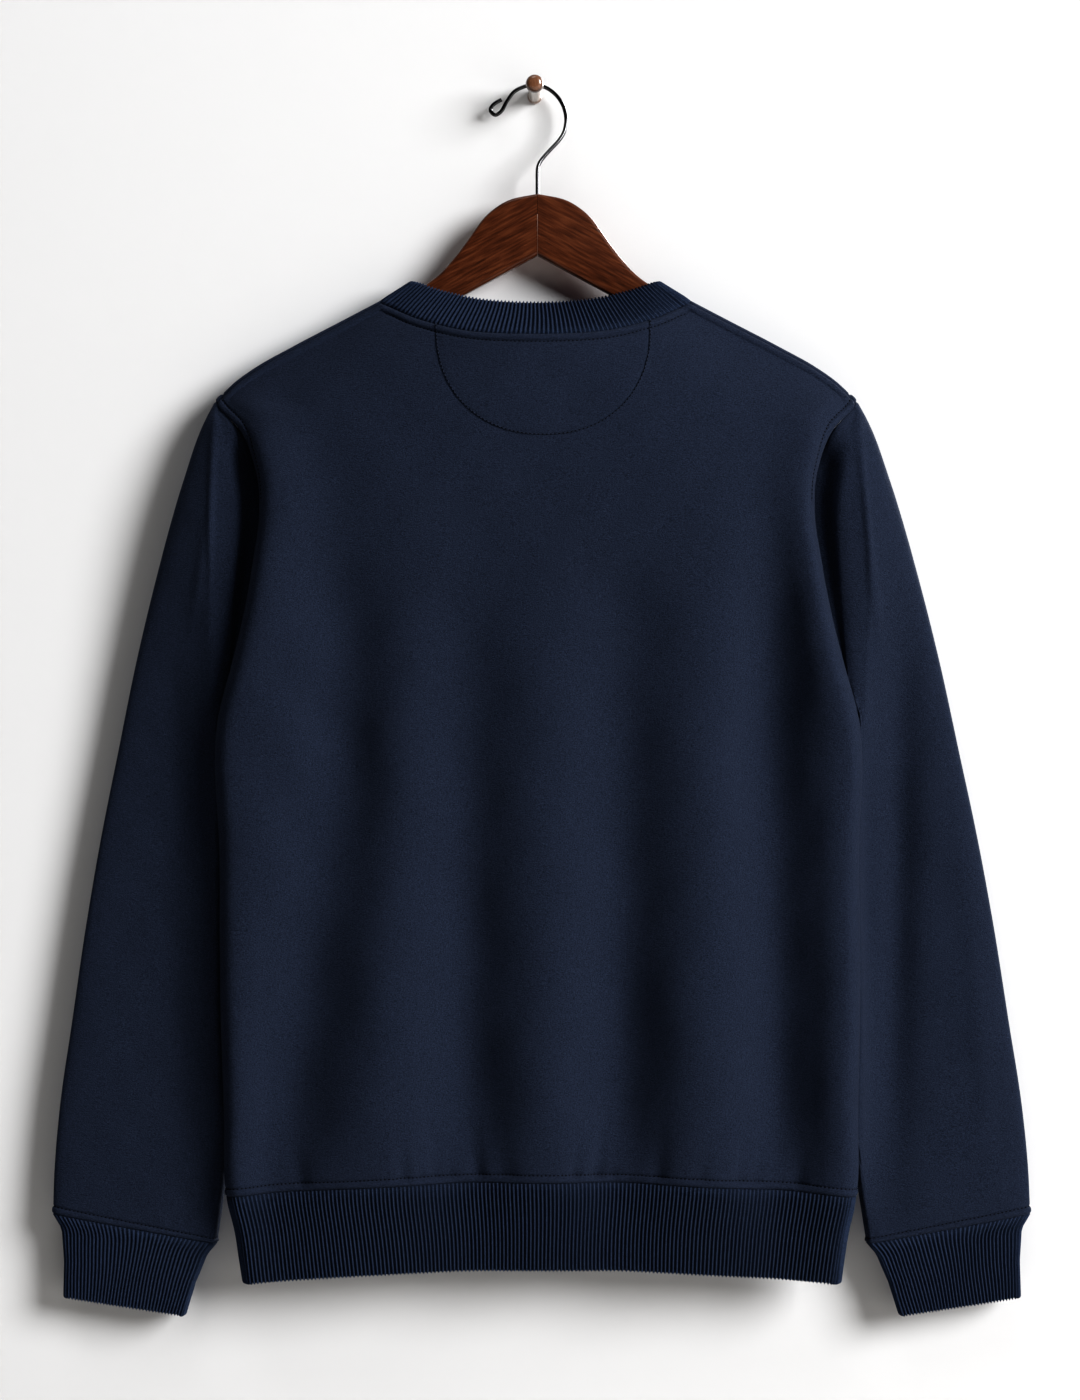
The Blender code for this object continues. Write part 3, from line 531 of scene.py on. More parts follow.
class Sheet:
    """The outer face of one piece: grids of points, welded where they meet."""

    def __init__(self, grids, reliefs, ring=False):
        placed = [world(grid) for grid in grids]
        loose = np.concatenate([grid.reshape(-1, 3) for grid in placed])
        _, first, index = np.unique(loose.round(3), axis=0, return_index=True, return_inverse=True)
        self.flat = loose[first]
        ends = np.cumsum([grid[..., 0].size for grid in placed])[:-1]
        parts = np.split(index.reshape(-1), ends)
        self.grids = [part.reshape(grid.shape[:2]) for part, grid in zip(parts, placed)]
        self.faces = np.concatenate([quads(closed(grid) if ring else grid) for grid in self.grids])
        self.normals = self.face_normals()
        pairs = zip(reliefs, self.grids)
        raised = [np.broadcast_to(r, grid.shape).reshape(-1) for r, grid in pairs]
        self.relief = np.concatenate(raised)[first][:, None]
        self.points = self.flat + self.relief * self.normals

    def face_normals(self):
        a, b, c, d = (self.flat[self.faces[:, i]] for i in range(4))
        facing = np.cross(c - a, d - b)
        normals = np.zeros_like(self.flat)
        for i in range(4):
            np.add.at(normals, self.faces[:, i], facing)
        return unit(normals)

    def border(self):
        edges = np.concatenate([self.faces[:, [i, (i + 1) % 4]] for i in range(4)])
        count = len(self.flat)
        forward = edges[:, 0] * count + edges[:, 1]
        backward = edges[:, 1] * count + edges[:, 0]
        return edges[~np.isin(forward, backward)]

    def build(self, name, thickness, material):
        """The closed wall: outer face, inner face, and the cut edge between them."""
        count = len(self.flat)
        inner = self.flat + (np.minimum(self.relief, 0) - thickness) * self.normals
        edges = self.border()
        cut = np.column_stack([edges[:, 1], edges[:, 0], edges[:, 0] + count, edges[:, 1] + count])
        faces = np.concatenate([self.faces, self.faces[:, ::-1] + count, cut])
        return add_mesh(name, np.concatenate([self.points, inner]), faces.tolist(), material)

    def line(self, places):
        return self.points[places], self.normals[places]


def add_object(name, data):
    obj = bpy.data.objects.new(name, data)
    bpy.context.scene.collection.objects.link(obj)
    return obj


def add_mesh(name, points, faces, material):
    mesh = bpy.data.meshes.new(name)
    mesh.from_pydata((points * MM).tolist(), [], faces)
    mesh.materials.append(material)
    mesh.shade_smooth()
    return add_object(name, mesh)


# The body's two panels

BACK_PITCH, FRONT_PITCH = 2.6, 4.0  # the grids' spacing


def neck_drop(half, front):
    place = np.linspace(10, 6, 200) if front else np.linspace(0, 4, 200)
    return np.interp(np.abs(half), neck_value("half", place), neck_value("drop", place))


def edge_slant(drop):
    """How much wider than square to the edge a strip along the body's edge is, measured across."""
    slope = read(BODY, "half", drop + 0.5) - read(BODY, "half", drop - 0.5)
    return 1 + (np.sqrt(1 + slope**2) - 1) * ease((drop - 66) / 12)


def panel_grid(front, pitch):
    """A panel's columns, its points' half and drop, and how far they are from edge, top and hem."""
    last = SEAM_STEPS[-1]
    shoulder_end = SHOULDER_END - last
    neck = np.linspace(0, NECK_HALF, int(NECK_HALF / pitch))
    shoulder = np.linspace(NECK_HALF, shoulder_end, int((shoulder_end - NECK_HALF) / pitch))
    right = np.concatenate([neck, shoulder[1:], SHOULDER_END - SEAM_STEPS[-2::-1]])
    column = np.concatenate([-right[:0:-1], right]) * (-1 if front else 1)
    below = FRONT_BELOW if front else SEAM_BEHIND
    on_neck = np.abs(column) < NECK_HALF
    top = np.where(on_neck, neck_drop(column, front), shoulder_line(column) + below)
    steep = np.sqrt(1 + np.clip(np.gradient(top, column), -1.2, 1.2) ** 2)
    bottom = hem_drop(column / SHOULDER_END, HEM_SEAM, FRONT_RISE if front else HEM_RISE)
    middle = np.linspace(0, 1, int(600 / pitch))[1:-1, None]
    drop = np.concatenate([
        top + SEAM_STEPS[:, None] * steep,
        mix(top + last * steep, bottom - last, middle),
        bottom - SEAM_STEPS[::-1, None],
    ])
    edge, slant = read(BODY, "half", drop), edge_slant(drop)
    out = SHOULDER_END - np.abs(column)
    inner = np.abs(column) / shoulder_end * (edge - last * slant)
    half = np.sign(column) * np.where(out < last, edge - out * slant, inner)
    from_edge = (edge - np.abs(half)) / slant
    return column, half, drop, from_edge, (drop - top) / steep, bottom - drop


def back_sheet():
    _, half, drop, *distances = panel_grid(False, BACK_PITCH)
    return Sheet([on_body(half, drop)], [back_relief(half, drop, *distances)])


def front_sheet():
    """The front, and the strips of it that go over the hanger to the shoulder seams."""
    column, half, drop, from_edge, from_top, from_hem = panel_grid(True, FRONT_PITCH)
    neck_strip = strip_relief(from_top) * ease((NECK_HALF + 2 - np.abs(column)) / 4)
    relief = body_relief(half, drop, from_edge, from_top, from_hem, FRONT_CREASES) + neck_strip
    grids, reliefs = [on_body(half, drop, front_depth)], [relief]
    from_seam = math.acos(1 - SEAM_BEHIND / RAIL_ROUND)
    to_front = math.acos(1 - FRONT_BELOW / RAIL_ROUND)
    turn = np.linspace(-from_seam, to_front, 13)[:, None]
    for side in (1, -1):
        over = side * column >= NECK_HALF - 0.01
        share = np.abs(half[0, over]) / read(BODY, "half", drop[0, over])
        strip_drop = shoulder_line(column[over]) + RAIL_ROUND * (1 - np.cos(turn))
        strip_half = side * share * read(BODY, "half", strip_drop)
        strip_depth = RAIL_DEPTH - RAIL_ROUND * np.sin(turn) + 0 * strip_half
        strip = np.stack([strip_half, strip_drop, strip_depth], axis=-1)
        strip[-1] = grids[0][0, over]
        grids.append(strip)
        seam = -SEAM_DIP * bell(RAIL_ROUND * (turn + from_seam), 0.9)
        reliefs.append(seam + strip_relief(from_edge[0, over]))
        reliefs[-1][-1] = relief[0, over]
    return Sheet(grids, reliefs)


# The shape of a sleeve

def along(table, share):
    """The point at a share of the way along an edge, by its length."""
    drop = np.linspace(table["drop"][0], table["drop"][-1], 120)
    line = np.stack([read(table, "half", drop), drop, read(table, "depth", drop)], axis=-1)
    length = length_along(line[:, :2])
    return between(share * length[-1], length, line)


EDGE_LENGTHS = [
    length_along([along(edge, share)[:2] for share in np.linspace(0, 1, 60)])[-1]
    for edge in (SLEEVE_OUTER, SLEEVE_INNER)
]


def sleeve_back(point, share, down, side):
    """The depth of a sleeve's back: a crest, the slope from it down into the armhole's crease or to
    the body's side, and its fall towards the outer edge."""
    outer, inner = (mix(*SLEEVE_BACK[edge], down) for edge in ("outer", "inner"))
    half, drop = point[:, 0], point[:, 1]
    lean = SLEEVE_LEAN[side] * math.sin(math.pi * down)
    base = mix(outer + lean, inner - lean, share)
    height, at = read(CREST, "height", drop), read(CREST, f"at_{side}", drop)
    line = read(BODY, "half", drop)
    seam = back_depth(line, drop)
    way = (half - line) / np.maximum(at - line, 1)
    away = np.hypot(np.maximum(half - at, 0), CREST_ROUND) - CREST_ROUND
    rising = mix(seam, base + height, read(RISE, "share", way))
    return np.where(half < at, rising, base + height * np.exp(-away / read(CREST, side, drop)))


def keep_clear_of_body(point, margin):
    """Moves points out past the armhole's line above the armpit, and behind the front below it."""
    above = 1 - ease((point[:, 1] - ARMPIT) / 25)
    line = read(BODY, "half", point[:, 1])
    point[:, 0] += above * np.maximum(line + margin - point[:, 0], 0)
    behind = (point[:, 1] > ARMPIT) & (point[:, 0] < line + CLEARANCE)
    limit = front_depth(point[:, 0], point[:, 1]) - CLEARANCE
    point[:, 2] = np.where(behind, np.minimum(point[:, 2], limit), point[:, 2])


def sleeve_row(down, ring, share, on_back, side):
    """One section of the sleeve, from the armhole (down 0) to the cuff seam (down 1)."""
    outer, inner = along(SLEEVE_OUTER, down), along(SLEEVE_INNER, down)
    straight = mix(outer, inner, share[:, None])
    first = mix(along(SLEEVE_OUTER, 0), along(SLEEVE_INNER, 0), share[:, None])
    point = straight + (ring - first) * max(0, 1 - down / 0.1) ** 2
    gone = down * mix(*EDGE_LENGTHS, share)
    near, span = 18 * (1 - share**4), mix(34, 2, share**4)
    near, span = np.where(on_back, 1, near), np.where(on_back, 12, span)
    joined = 1 - ease((gone - near) / span)
    power = np.where(share > 0.5, 12, 5)
    fullness = (1 - np.abs(2 * share - 1) ** power) ** (1 / power)
    layer = np.where(on_back, sleeve_back(point, share, down, side), SLEEVE_FRONT)
    point[:, 2] = mix(mix(straight[:, 2], layer, fullness), ring[:, 2], joined)
    if down > 0:
        keep_clear_of_body(point, 12 * down)
    return point


def armhole_ring():
    """The armhole's points, up the back from the armpit and down the front, each with its share of
    the way down from the shoulder and whether it is on the back."""
    over = RAIL_ROUND * (1 - np.cos(np.linspace(0, np.pi / 2, 9)))
    start = SHOULDER["drop"][-1]
    below = np.linspace(start + RAIL_ROUND, ARMPIT, 64)[1:]
    drop = np.concatenate([start + over, below])
    ring, shares, on_back = [], [], []
    for depth_of, is_back in ((back_depth, True), (front_depth, False)):
        line = body_point(np.ones(len(drop)), drop, depth_of)
        share = length_along(line[:, :2])
        share /= share[-1]
        keep = slice(None, None, -1) if is_back else slice(1, -1)
        ring.append(line[keep])
        shares.append(share[keep])
        on_back.append(np.full(len(share[keep]), is_back))
    return np.concatenate(ring), np.concatenate(shares), np.concatenate(on_back)


ARMHOLE = armhole_ring()
SLEEVE_LENGTH = 590.0
SLEEVE_STEPS = np.concatenate([
    np.array([0, 0.7, 1.5, 2.5, 3.8, 5.4, 7.4, 9.8, 12.4]) / SLEEVE_LENGTH,
    np.arange(14.5, 170.0, 1.9) / SLEEVE_LENGTH,
    np.linspace(171.5, 578.0, 126) / SLEEVE_LENGTH,
    1 - SEAM_STEPS[::-1] / SLEEVE_LENGTH,
])


def sleeve_grid(table, side):
    """A sleeve's points, row by row from the armhole to the cuff, and how far each is raised."""
    ring, share, on_back = ARMHOLE
    grid = np.stack([sleeve_row(down, ring, share, on_back, side) for down in SLEEVE_STEPS])
    gone = SLEEVE_STEPS[:, None] * mix(*EDGE_LENGTHS, share)
    left = (1 - SLEEVE_STEPS[:, None]) * SLEEVE_LENGTH
    half, drop = grid[..., 0], grid[..., 1]
    calm = ease((gone - 2) / 14) * ease((left - 2) / 10)
    pinch = bell(half - read(CREST, f"at_{side}", drop), PINCH_WIDTH)
    pinch = pinch * ease((PINCH_END - drop) / 80) * ease(share / 0.03) * ease((gone - 2) / 6)
    waves = creases(table, half, drop) * on_back + unevenness(half, drop)
    relief = (
        -SEAM_DIP * bell(gone, 1.2)
        + strip_relief(left)
        + CREST_PINCH * pinch * on_back
        + calm * np.sin(np.pi * share) ** 0.5 * waves
    )
    return grid, relief


def cuff_levels():
    """Rings from the sleeve's last row down to the cuff's free edge."""
    ring, share, on_back = ARMHOLE
    seam = sleeve_row(1.0, ring, share, on_back, "right")
    middle = mix(along(SLEEVE_OUTER, 1)[2], along(SLEEVE_INNER, 1)[2], share)
    levels = []
    for at in np.linspace(0, 1, CUFF_LEVELS):
        outer_half, outer_drop, inner_half, inner_drop, fullness = (
            np.interp(at, CUFF["along"], CUFF[name]) for name in list(CUFF)[1:]
        )
        half, drop = mix(outer_half, inner_half, share), mix(outer_drop, inner_drop, share)
        levels.append(np.stack([half, drop, mix(middle, seam[:, 2], fullness)], axis=-1))
    levels[0] = seam
    return np.stack(levels)


def mirrored(grid):
    return grid[:, ::-1] * (-1, 1, 1)


# Rib-knit bands

POINTS_A_RIB = 8
RIB_HEIGHT = 1.5
COLLAR_RIBS, HEM_RIBS, CUFF_RIBS = 174, 322, 86
COLLAR_LEVELS, HEM_LEVELS, CUFF_LEVELS = 9, 14, 16


def hem_levels():
    """Rings from the seam down, along the back from -X to +X and back along the front."""
    share = np.linspace(-1, 1, 121)
    levels = []
    for side_drop in np.linspace(HEM_SEAM, HEM_END, HEM_LEVELS):
        halves = ((share, HEM_RISE, back_depth), (share[-2:0:-1], FRONT_RISE, front_depth))
        levels.append(np.concatenate([
            body_point(part, hem_drop(part, side_drop, rise), depth_of)
            for part, rise, depth_of in halves
        ]))
    return np.stack(levels)


def collar_levels():
    """Rings from the collar's free edge down to the neck seam."""
    place = np.linspace(0, 20, 160, endpoint=False)
    place = np.concatenate([place[place > 10], place[place <= 10]])
    seam = neck_point(place)
    names = ("edge_half", "edge_drop", "edge_depth")
    edge = np.stack([neck_value(name, place) for name in names], axis=-1)
    return np.stack([mix(edge, seam, at) for at in np.linspace(0, 1, COLLAR_LEVELS)])


def at_shares(ring, share):
    """Values given at a ring's own points, at other shares of the way round."""
    wide = np.concatenate([ring, ring[:1]])
    return between(share % 1, np.linspace(0, 1, len(wide)), wide)


def ribbed_band(name, levels, ribs, grooves, free_edge):
    """A doubled band: its outer face, the fold at its free edge, and its inner face, all ribbed."""
    sheet = Sheet([levels], [0.0], ring=True)
    points, normals = sheet.flat[sheet.grids[0]], sheet.normals[sheet.grids[0]]
    middle = points[len(points) // 2]
    length = length_along(np.concatenate([middle, middle[:1]]))
    many = ribs * POINTS_A_RIB
    share = np.interp(np.arange(many) / many * length[-1], length, np.linspace(0, 1, len(length)))
    crest = (0.5 + 0.5 * np.cos(2 * np.pi * np.arange(many) / POINTS_A_RIB)) ** 1.8
    crest = RIB_HEIGHT * (crest - 0.6)[:, None]
    order = range(len(points)) if free_edge == "low" else range(len(points) - 1, -1, -1)
    outer, inner = [], []
    for k, i in enumerate(order):
        wave = 0.35 * np.sin(k * 0.35 + 25 * share) / length[-1]
        ring, normal = at_shares(points[i], share + wave), unit(at_shares(normals[i], share + wave))
        fade = min(1, 0.35 + k * 0.4)
        outer.append(ring + fade * crest * normal)
        inner.append(ring - (RIB_CLOTH + 0.7 * fade * crest) * normal)
    ring_in = (outer[-1] + inner[-1]) / 2
    ahead = unit(outer[-1] - outer[-2])
    side = (outer[-1] - inner[-1]) / 2
    reach = np.linalg.norm(side, axis=1, keepdims=True)
    fold = [
        ring_in + side * math.cos(a) + ahead * reach * math.sin(a)
        for a in np.linspace(0, np.pi, 7)[1:-1]
    ]
    loop = np.concatenate([outer, fold, inner[::-1]])
    index = np.arange(len(loop) * many).reshape(-1, many)
    faces = quads(closed(np.vstack([index, index[:1]])))
    if free_edge != "low":
        faces = faces[:, ::-1]
    obj = add_mesh(name, loop.reshape(-1, 3), faces.tolist(), rib_knit)
    obj.data.materials.append(rib_groove_painted_shade)
    # The faces in each rib's groove take the darker material: painted shade in the grooves.
    round_rib = np.tile(np.arange(many) % POINTS_A_RIB, len(loop))
    in_groove_painted_shade = np.abs(round_rib + 0.5 - POINTS_A_RIB / 2) < grooves / 2
    obj.data.polygons.foreach_set("material_index", in_groove_painted_shade.astype(np.int32))
    return obj


# Stitches

THREAD = 0.34
# Each hollow is drawn as a near-black disc: painted shade.
PIT = 0.6  # half the width of the hollow that a needle leaves between two stitches
NECK_PIT, MOON_PIT = 1.5, 0.62  # times that, where the stitches pull more or less
STITCH_PITCH = 2.9
STITCH_LENGTH = 1.7


def add_stitches(name, lines, thread, shade):
    """Short threads along lines, with near-black discs between them that paint the shade of the
    needle's hollows. A line is its points, the cloth's normals there and, where it isn't 1, the
    size of the hollows."""
    stations = np.array([-1, -0.72, 0.72, 1])
    ends = np.array([0.3, 1, 1, 0.3])
    turn = np.linspace(0, 2 * np.pi, 6, endpoint=False)
    sides = [
        (k * 6 + i, k * 6 + (i + 1) % 6, k * 6 + 6 + (i + 1) % 6, k * 6 + 6 + i)
        for k in range(3)
        for i in range(6)
    ]
    caps = [(5, 4, 3, 2, 1, 0), tuple(range(18, 24))]
    points, faces, slots = [], [], []
    for line, normals, *pit_size in lines:
        pit = (pit_size[0] if pit_size else 1) * PIT
        length = length_along(line)
        count = 2 * max(2, int(length[-1] / STITCH_PITCH)) + 1
        at = np.linspace(0, length[-1], count)
        centre, normal = between(at, length, line), unit(between(at, length, normals))
        ahead = unit(np.gradient(centre, axis=0))
        across = np.cross(ahead, normal)
        for k in range(count):
            is_pit = k % 2
            reach = (STITCH_PITCH - STITCH_LENGTH if is_pit else STITCH_LENGTH) / 2 + 0.1 * is_pit
            width, height = (pit, 0.35) if is_pit else (THREAD, 0.8 * THREAD)
            ring = width * np.cos(turn)[:, None] * across[k]
            ring = ring + height * np.sin(turn)[:, None] * normal[k]
            start = len(points) * 6
            middle = centre[k] + 0.2 * normal[k]
            for station, end in zip(stations * reach, ends):
                points.append(middle + station * ahead[k] + end * ring)
            faces += [tuple(start + v for v in face) for face in sides + caps]
            # The discs between the threads take the second material, the painted shade of the
            # hollows.
            slots += [is_pit] * (len(sides) + len(caps))
    obj = add_mesh(name, np.concatenate(points), faces, thread)
    obj.data.materials.append(shade)
    obj.data.polygons.foreach_set("material_index", slots)
    return obj


def surface_line(half, drop, relief):
    """Points and normals along a line on the back, raised by its relief."""
    at = world(on_body(half, drop))
    over, down = world(on_body(half + 0.5, drop)), world(on_body(half, drop + 0.5))
    normal = unit(np.cross(down - at, over - at))
    return at + relief[:, None] * normal, normal


# The hanger, its hook and the peg

def smooth_line(table, steps):
    """A smooth curve through a table's rows, steps points for each."""
    keys = np.arange(len(next(iter(table.values()))), dtype=float)
    at = np.linspace(0, keys[-1], steps * int(keys[-1]) + 1)
    return np.stack([read({"row": keys, name: table[name]}, name, at) for name in table], axis=-1)


def reshape(mesh, change=None):
    """Makes a change to a mesh, if one is given, and turns its faces outwards."""
    shape = bmesh.new()
    shape.from_mesh(mesh)
    if change:
        change(shape)
    bmesh.ops.recalc_face_normals(shape, faces=shape.faces)
    shape.to_mesh(mesh)
    shape.free()


def as_mesh(curve, name):
    """The curve's form as a welded mesh in its place, instead of the curve."""

    def weld(shape):
        shape.transform(curve.matrix_world)
        bmesh.ops.remove_doubles(shape, verts=shape.verts, dist=0.00001)

    bpy.context.view_layer.update()
    graph = bpy.context.evaluated_depsgraph_get()
    graph.update()
    mesh = bpy.data.meshes.new_from_object(curve.evaluated_get(graph))
    reshape(mesh, weld)
    bpy.data.objects.remove(curve)
    return add_object(name, mesh)


def surfaced(obj, material, sharp):
    """The object in one material, smooth but for edges sharper than an angle in degrees."""
    obj.data.materials.clear()
    obj.data.materials.append(material)
    obj.data.shade_smooth()
    obj.data.set_sharp_from_angle(angle=math.radians(sharp))
    return obj


def add_curve(name, points, outline=False):
    """A line through points, or the outline of a flat shape."""
    curve = bpy.data.curves.new(name, "CURVE")
    curve.dimensions = "2D" if outline else "3D"
    spline = curve.splines.new("POLY")
    spline.points.add(len(points) - 1)
    for point, place in zip(spline.points, points):
        point.co = (*place, 1)
    spline.use_cyclic_u = outline
    return add_object(name, curve)


JOINT_SPARE = 6.0  # each arm is drawn this far past the joint, then cut square
JOINT_GAP = 0.1
HANGER_UNDER_SLOPE = 0.54


def hanger_arm(side, name, material):
    """One arm: its outline, thickened with round edges, and cut square at the joint."""

    def cut_square(shape):
        everything = [*shape.verts, *shape.edges, *shape.faces]
        joint = dict(plane_co=((HANGER_X + side * JOINT_GAP) * MM, 0, 0), plane_no=(-side, 0, 0))
        bmesh.ops.bisect_plane(shape, geom=everything, clear_outer=True, **joint)
        bmesh.ops.holes_fill(shape, edges=[edge for edge in shape.edges if edge.is_boundary])

    top = smooth_line(HANGER_TOP, 4)
    under = smooth_line(HANGER_UNDER, 4)[::-1]
    over_under = under[-1, 1] + HANGER_UNDER_SLOPE * JOINT_SPARE
    past = (-JOINT_SPARE, top[0, 1]), (-JOINT_SPARE, over_under)
    outline = np.concatenate([[past[0]], top, under, [past[1]]])
    outline[:, 0] *= side
    points = [(x * MM, y * MM, 0) for x, y in outline]
    arm = add_curve(name + "_line", points, outline=True)
    arm.data.fill_mode = "BOTH"
    arm.data.extrude = (HANGER_THICKNESS / 2 - HANGER_EDGE) * MM
    arm.data.bevel_depth = HANGER_EDGE * MM
    arm.data.bevel_resolution = 4
    arm.data.offset = -HANGER_EDGE * MM
    arm.rotation_euler = (math.pi / 2, 0, 0)
    arm.location = (HANGER_X * MM, -RAIL_DEPTH * MM, NECK_POINT_Z * MM)
    arm = as_mesh(arm, name)
    reshape(arm.data, cut_square)
    return surfaced(arm, material, 40)


def hook_wire(material):
    line = smooth_line(HOOK, 6)
    foot = NECK_POINT_Z + HANGER_TOP["height"][0] - STEM_IN_WOOD
    line = np.concatenate([line, [(HANGER_X, foot, RAIL_DEPTH)]])
    points = [(across * MM, -depth * MM, height * MM) for across, height, depth in line]
    hook = add_curve("hook_line", points)
    hook.data.bevel_depth = WIRE * MM
    hook.data.bevel_resolution = 5
    hook.data.use_fill_caps = True
    return surfaced(as_mesh(hook, "hook_wire"), material, 50)


def turned_peg(material):
    """Rings of points round the peg's profile, which is smooth and leans up a little."""
    out, radius = PEG_PROFILE["out"], PEG_PROFILE["radius"]
    table = {"row": np.arange(len(out) - 1, dtype=float), "out": out[:-1], "radius": radius[:-1]}
    at = np.linspace(0, len(out) - 2, 6 * (len(out) - 2) + 1)
    out, radius = read(table, "out", at), np.maximum(read(table, "radius", at), 0.0)
    turn = np.linspace(0, 2 * np.pi, PEG_SIDES, endpoint=False)
    rings = [
        np.stack([r * np.cos(turn), 0 * turn - z, r * np.sin(turn) + PEG_RISE * z], axis=-1)
        for z, r in zip(out[1:], radius[1:])
    ]
    tip = [(0, -out[0], PEG_RISE * out[0])]
    points = np.concatenate([tip, *rings, [(0, 0, 0)]])
    index = closed(np.arange(1, len(points) - 1).reshape(-1, PEG_SIDES))
    faces = quads(index).tolist()
    for end, ring in ((0, index[0].tolist()), (len(points) - 1, index[-1].tolist())):
        faces += [(end, a, b) for a, b in zip(ring, ring[1:])]
    peg = add_mesh("peg_turned", points, faces, material)
    reshape(peg.data)
    return peg


# Materials

class Shader:
    """A material's node tree, with short ways to add to it."""

    def __init__(self, name, **surface):
        self.material = bpy.data.materials.new(name)
        self.material.use_nodes = True
        self.tree = self.material.node_tree
        self.surface = self.tree.nodes["Principled BSDF"]
        for socket, value in surface.items():
            self.surface.inputs[socket.replace("_", " ")].default_value = value

    def node(self, kind, **inputs):
        node = self.tree.nodes.new(kind)
        for name, value in inputs.items():
            self.give(node, name.replace("_", " "), value)
        return node

    def give(self, node, socket, value):
        if hasattr(value, "links"):
            self.tree.links.new(value, node.inputs[socket])
        else:
            node.inputs[socket].default_value = value

    def place(self):
        return self.node("ShaderNodeTexCoord").outputs["Object"]

    def noise(self, scale, detail, where=None):
        where = where or self.place()
        node = self.node("ShaderNodeTexNoise", Vector=where, Scale=scale, Detail=detail)
        return node.outputs["Fac"]

    def ramp(self, factor, *stops):
        """Colours at places from 0 to 1."""
        node = self.node("ShaderNodeValToRGB", Fac=factor)
        marks = node.color_ramp.elements
        while len(marks) < len(stops):
            marks.new(0.5)
        for mark, (place, colour) in zip(marks, stops):
            mark.position, mark.color = place, (*colour, 1)
        return node.outputs["Color"]

    def stretched(self, scale, turn=(0, 0, 0)):
        turned = self.node("ShaderNodeMapping", Vector=self.place(), Rotation=turn)
        node = self.node("ShaderNodeMapping", Vector=turned.outputs["Vector"], Scale=scale)
        return node.outputs["Vector"]

    def bump(self, height, distance, before=None):
        node = self.node("ShaderNodeBump", Height=height, Distance=distance)
        if before:
            self.give(node, "Normal", before)
        self.give(self.surface, "Normal", node.outputs["Normal"])
        return node.outputs["Normal"]

    def colour(self, value):
        self.give(self.surface, "Base Color", value)


FLEECE = (0.0165, 0.0223, 0.0389)
RIB = (0.0192, 0.0285, 0.0530)
THREAD_NAVY = (0.024, 0.031, 0.052)
# Near black: painted shade for the needle's hollows between stitches.
NEEDLE_HOLE_PAINTED_SHADE = (0.0008, 0.0010, 0.0018)
WOOD = (0.030, 0.0095, 0.0042), (0.064, 0.0195, 0.0080), (0.104, 0.036, 0.0150)
GRAIN_SLOPE = 0.50  # the turn of the wood's grain along an arm, in radians


def times(colour, factor):
    return tuple(c * factor for c in colour)


def cloth_material(name, colour, mottle, grain):
    soft = dict(Roughness=0.95, Specular_IOR_Level=0.08)
    sheen = dict(Sheen_Weight=0.04, Sheen_Roughness=0.5, Sheen_Tint=(0.55, 0.65, 0.9, 1))
    shader = Shader(name, **soft, **sheen)
    fine = shader.noise(1.0, 3.0, shader.stretched((0.7 * grain, grain, 1.5 * grain)))
    dark, light = times(colour, 1 - mottle), times(colour, 1 + mottle)
    shader.colour(shader.ramp(fine, (0.25, dark), (0.75, light)))
    first = shader.bump(shader.noise(1600.0, 3.0), 0.0007)
    shader.bump(shader.noise(1.0, 2.0, shader.stretched((350, 700, 900))), 0.0004, before=first)
    return shader.material


def wood_material(name, side):
    varnish = dict(Coat_Weight=0.35, Coat_Roughness=0.1, Specular_IOR_Level=0.2)
    shader = Shader(name, Roughness=0.32, **varnish)
    grain = shader.noise(1.0, 4.0, shader.stretched((60, 620, 620), (0, -side * GRAIN_SLOPE, 0)))
    dark, middle, light = WOOD
    shader.colour(shader.ramp(grain, (0.28, dark), (0.5, middle), (0.72, light)))
    shader.bump(grain, 0.0002)
    return shader.material


def steel_material():
    shader = Shader("steel_wire", Roughness=0.16, Metallic=1.0)
    shader.colour((0.07, 0.07, 0.073, 1))
    return shader.material


def peg_material():
    """Brown at the turned ends and darker round the head's rim; the pale shaft is a painted
    highlight of the varnish.
    """
    shader = Shader("peg_wood", Roughness=0.28, Coat_Weight=0.5, Coat_Roughness=0.08)
    split = shader.node("ShaderNodeSeparateXYZ", Vector=shader.place())
    span = dict(From_Min=-0.045, From_Max=0.0)
    place = shader.node("ShaderNodeMapRange", Value=split.outputs["Y"], **span)
    # pale paints the varnish's highlight along the shaft.
    brown, pale, rim = (0.150, 0.070, 0.038), (0.36, 0.31, 0.27), (0.060, 0.026, 0.014)
    colour_and_painted_highlight_along = shader.ramp(
        place.outputs["Result"],
        (0.02, brown), (0.06, rim), (0.16, rim), (0.22, pale), (0.86, pale), (0.93, brown),
    )
    grain = shader.noise(1.0, 3.0, shader.stretched((900, 60, 900)))
    tone = shader.ramp(grain, (0.3, (0.75, 0.75, 0.75)), (0.7, (1.15, 1.15, 1.15)))
    mixed = shader.node("ShaderNodeMix", Factor=1.0)
    mixed.data_type, mixed.blend_type = "RGBA", "MULTIPLY"
    colours = [socket for socket in mixed.inputs if socket.type == "RGBA"]
    for value, socket in zip((colour_and_painted_highlight_along, tone), colours):
        shader.tree.links.new(value, socket)
    shader.colour(next(socket for socket in mixed.outputs if socket.type == "RGBA"))
    return shader.material


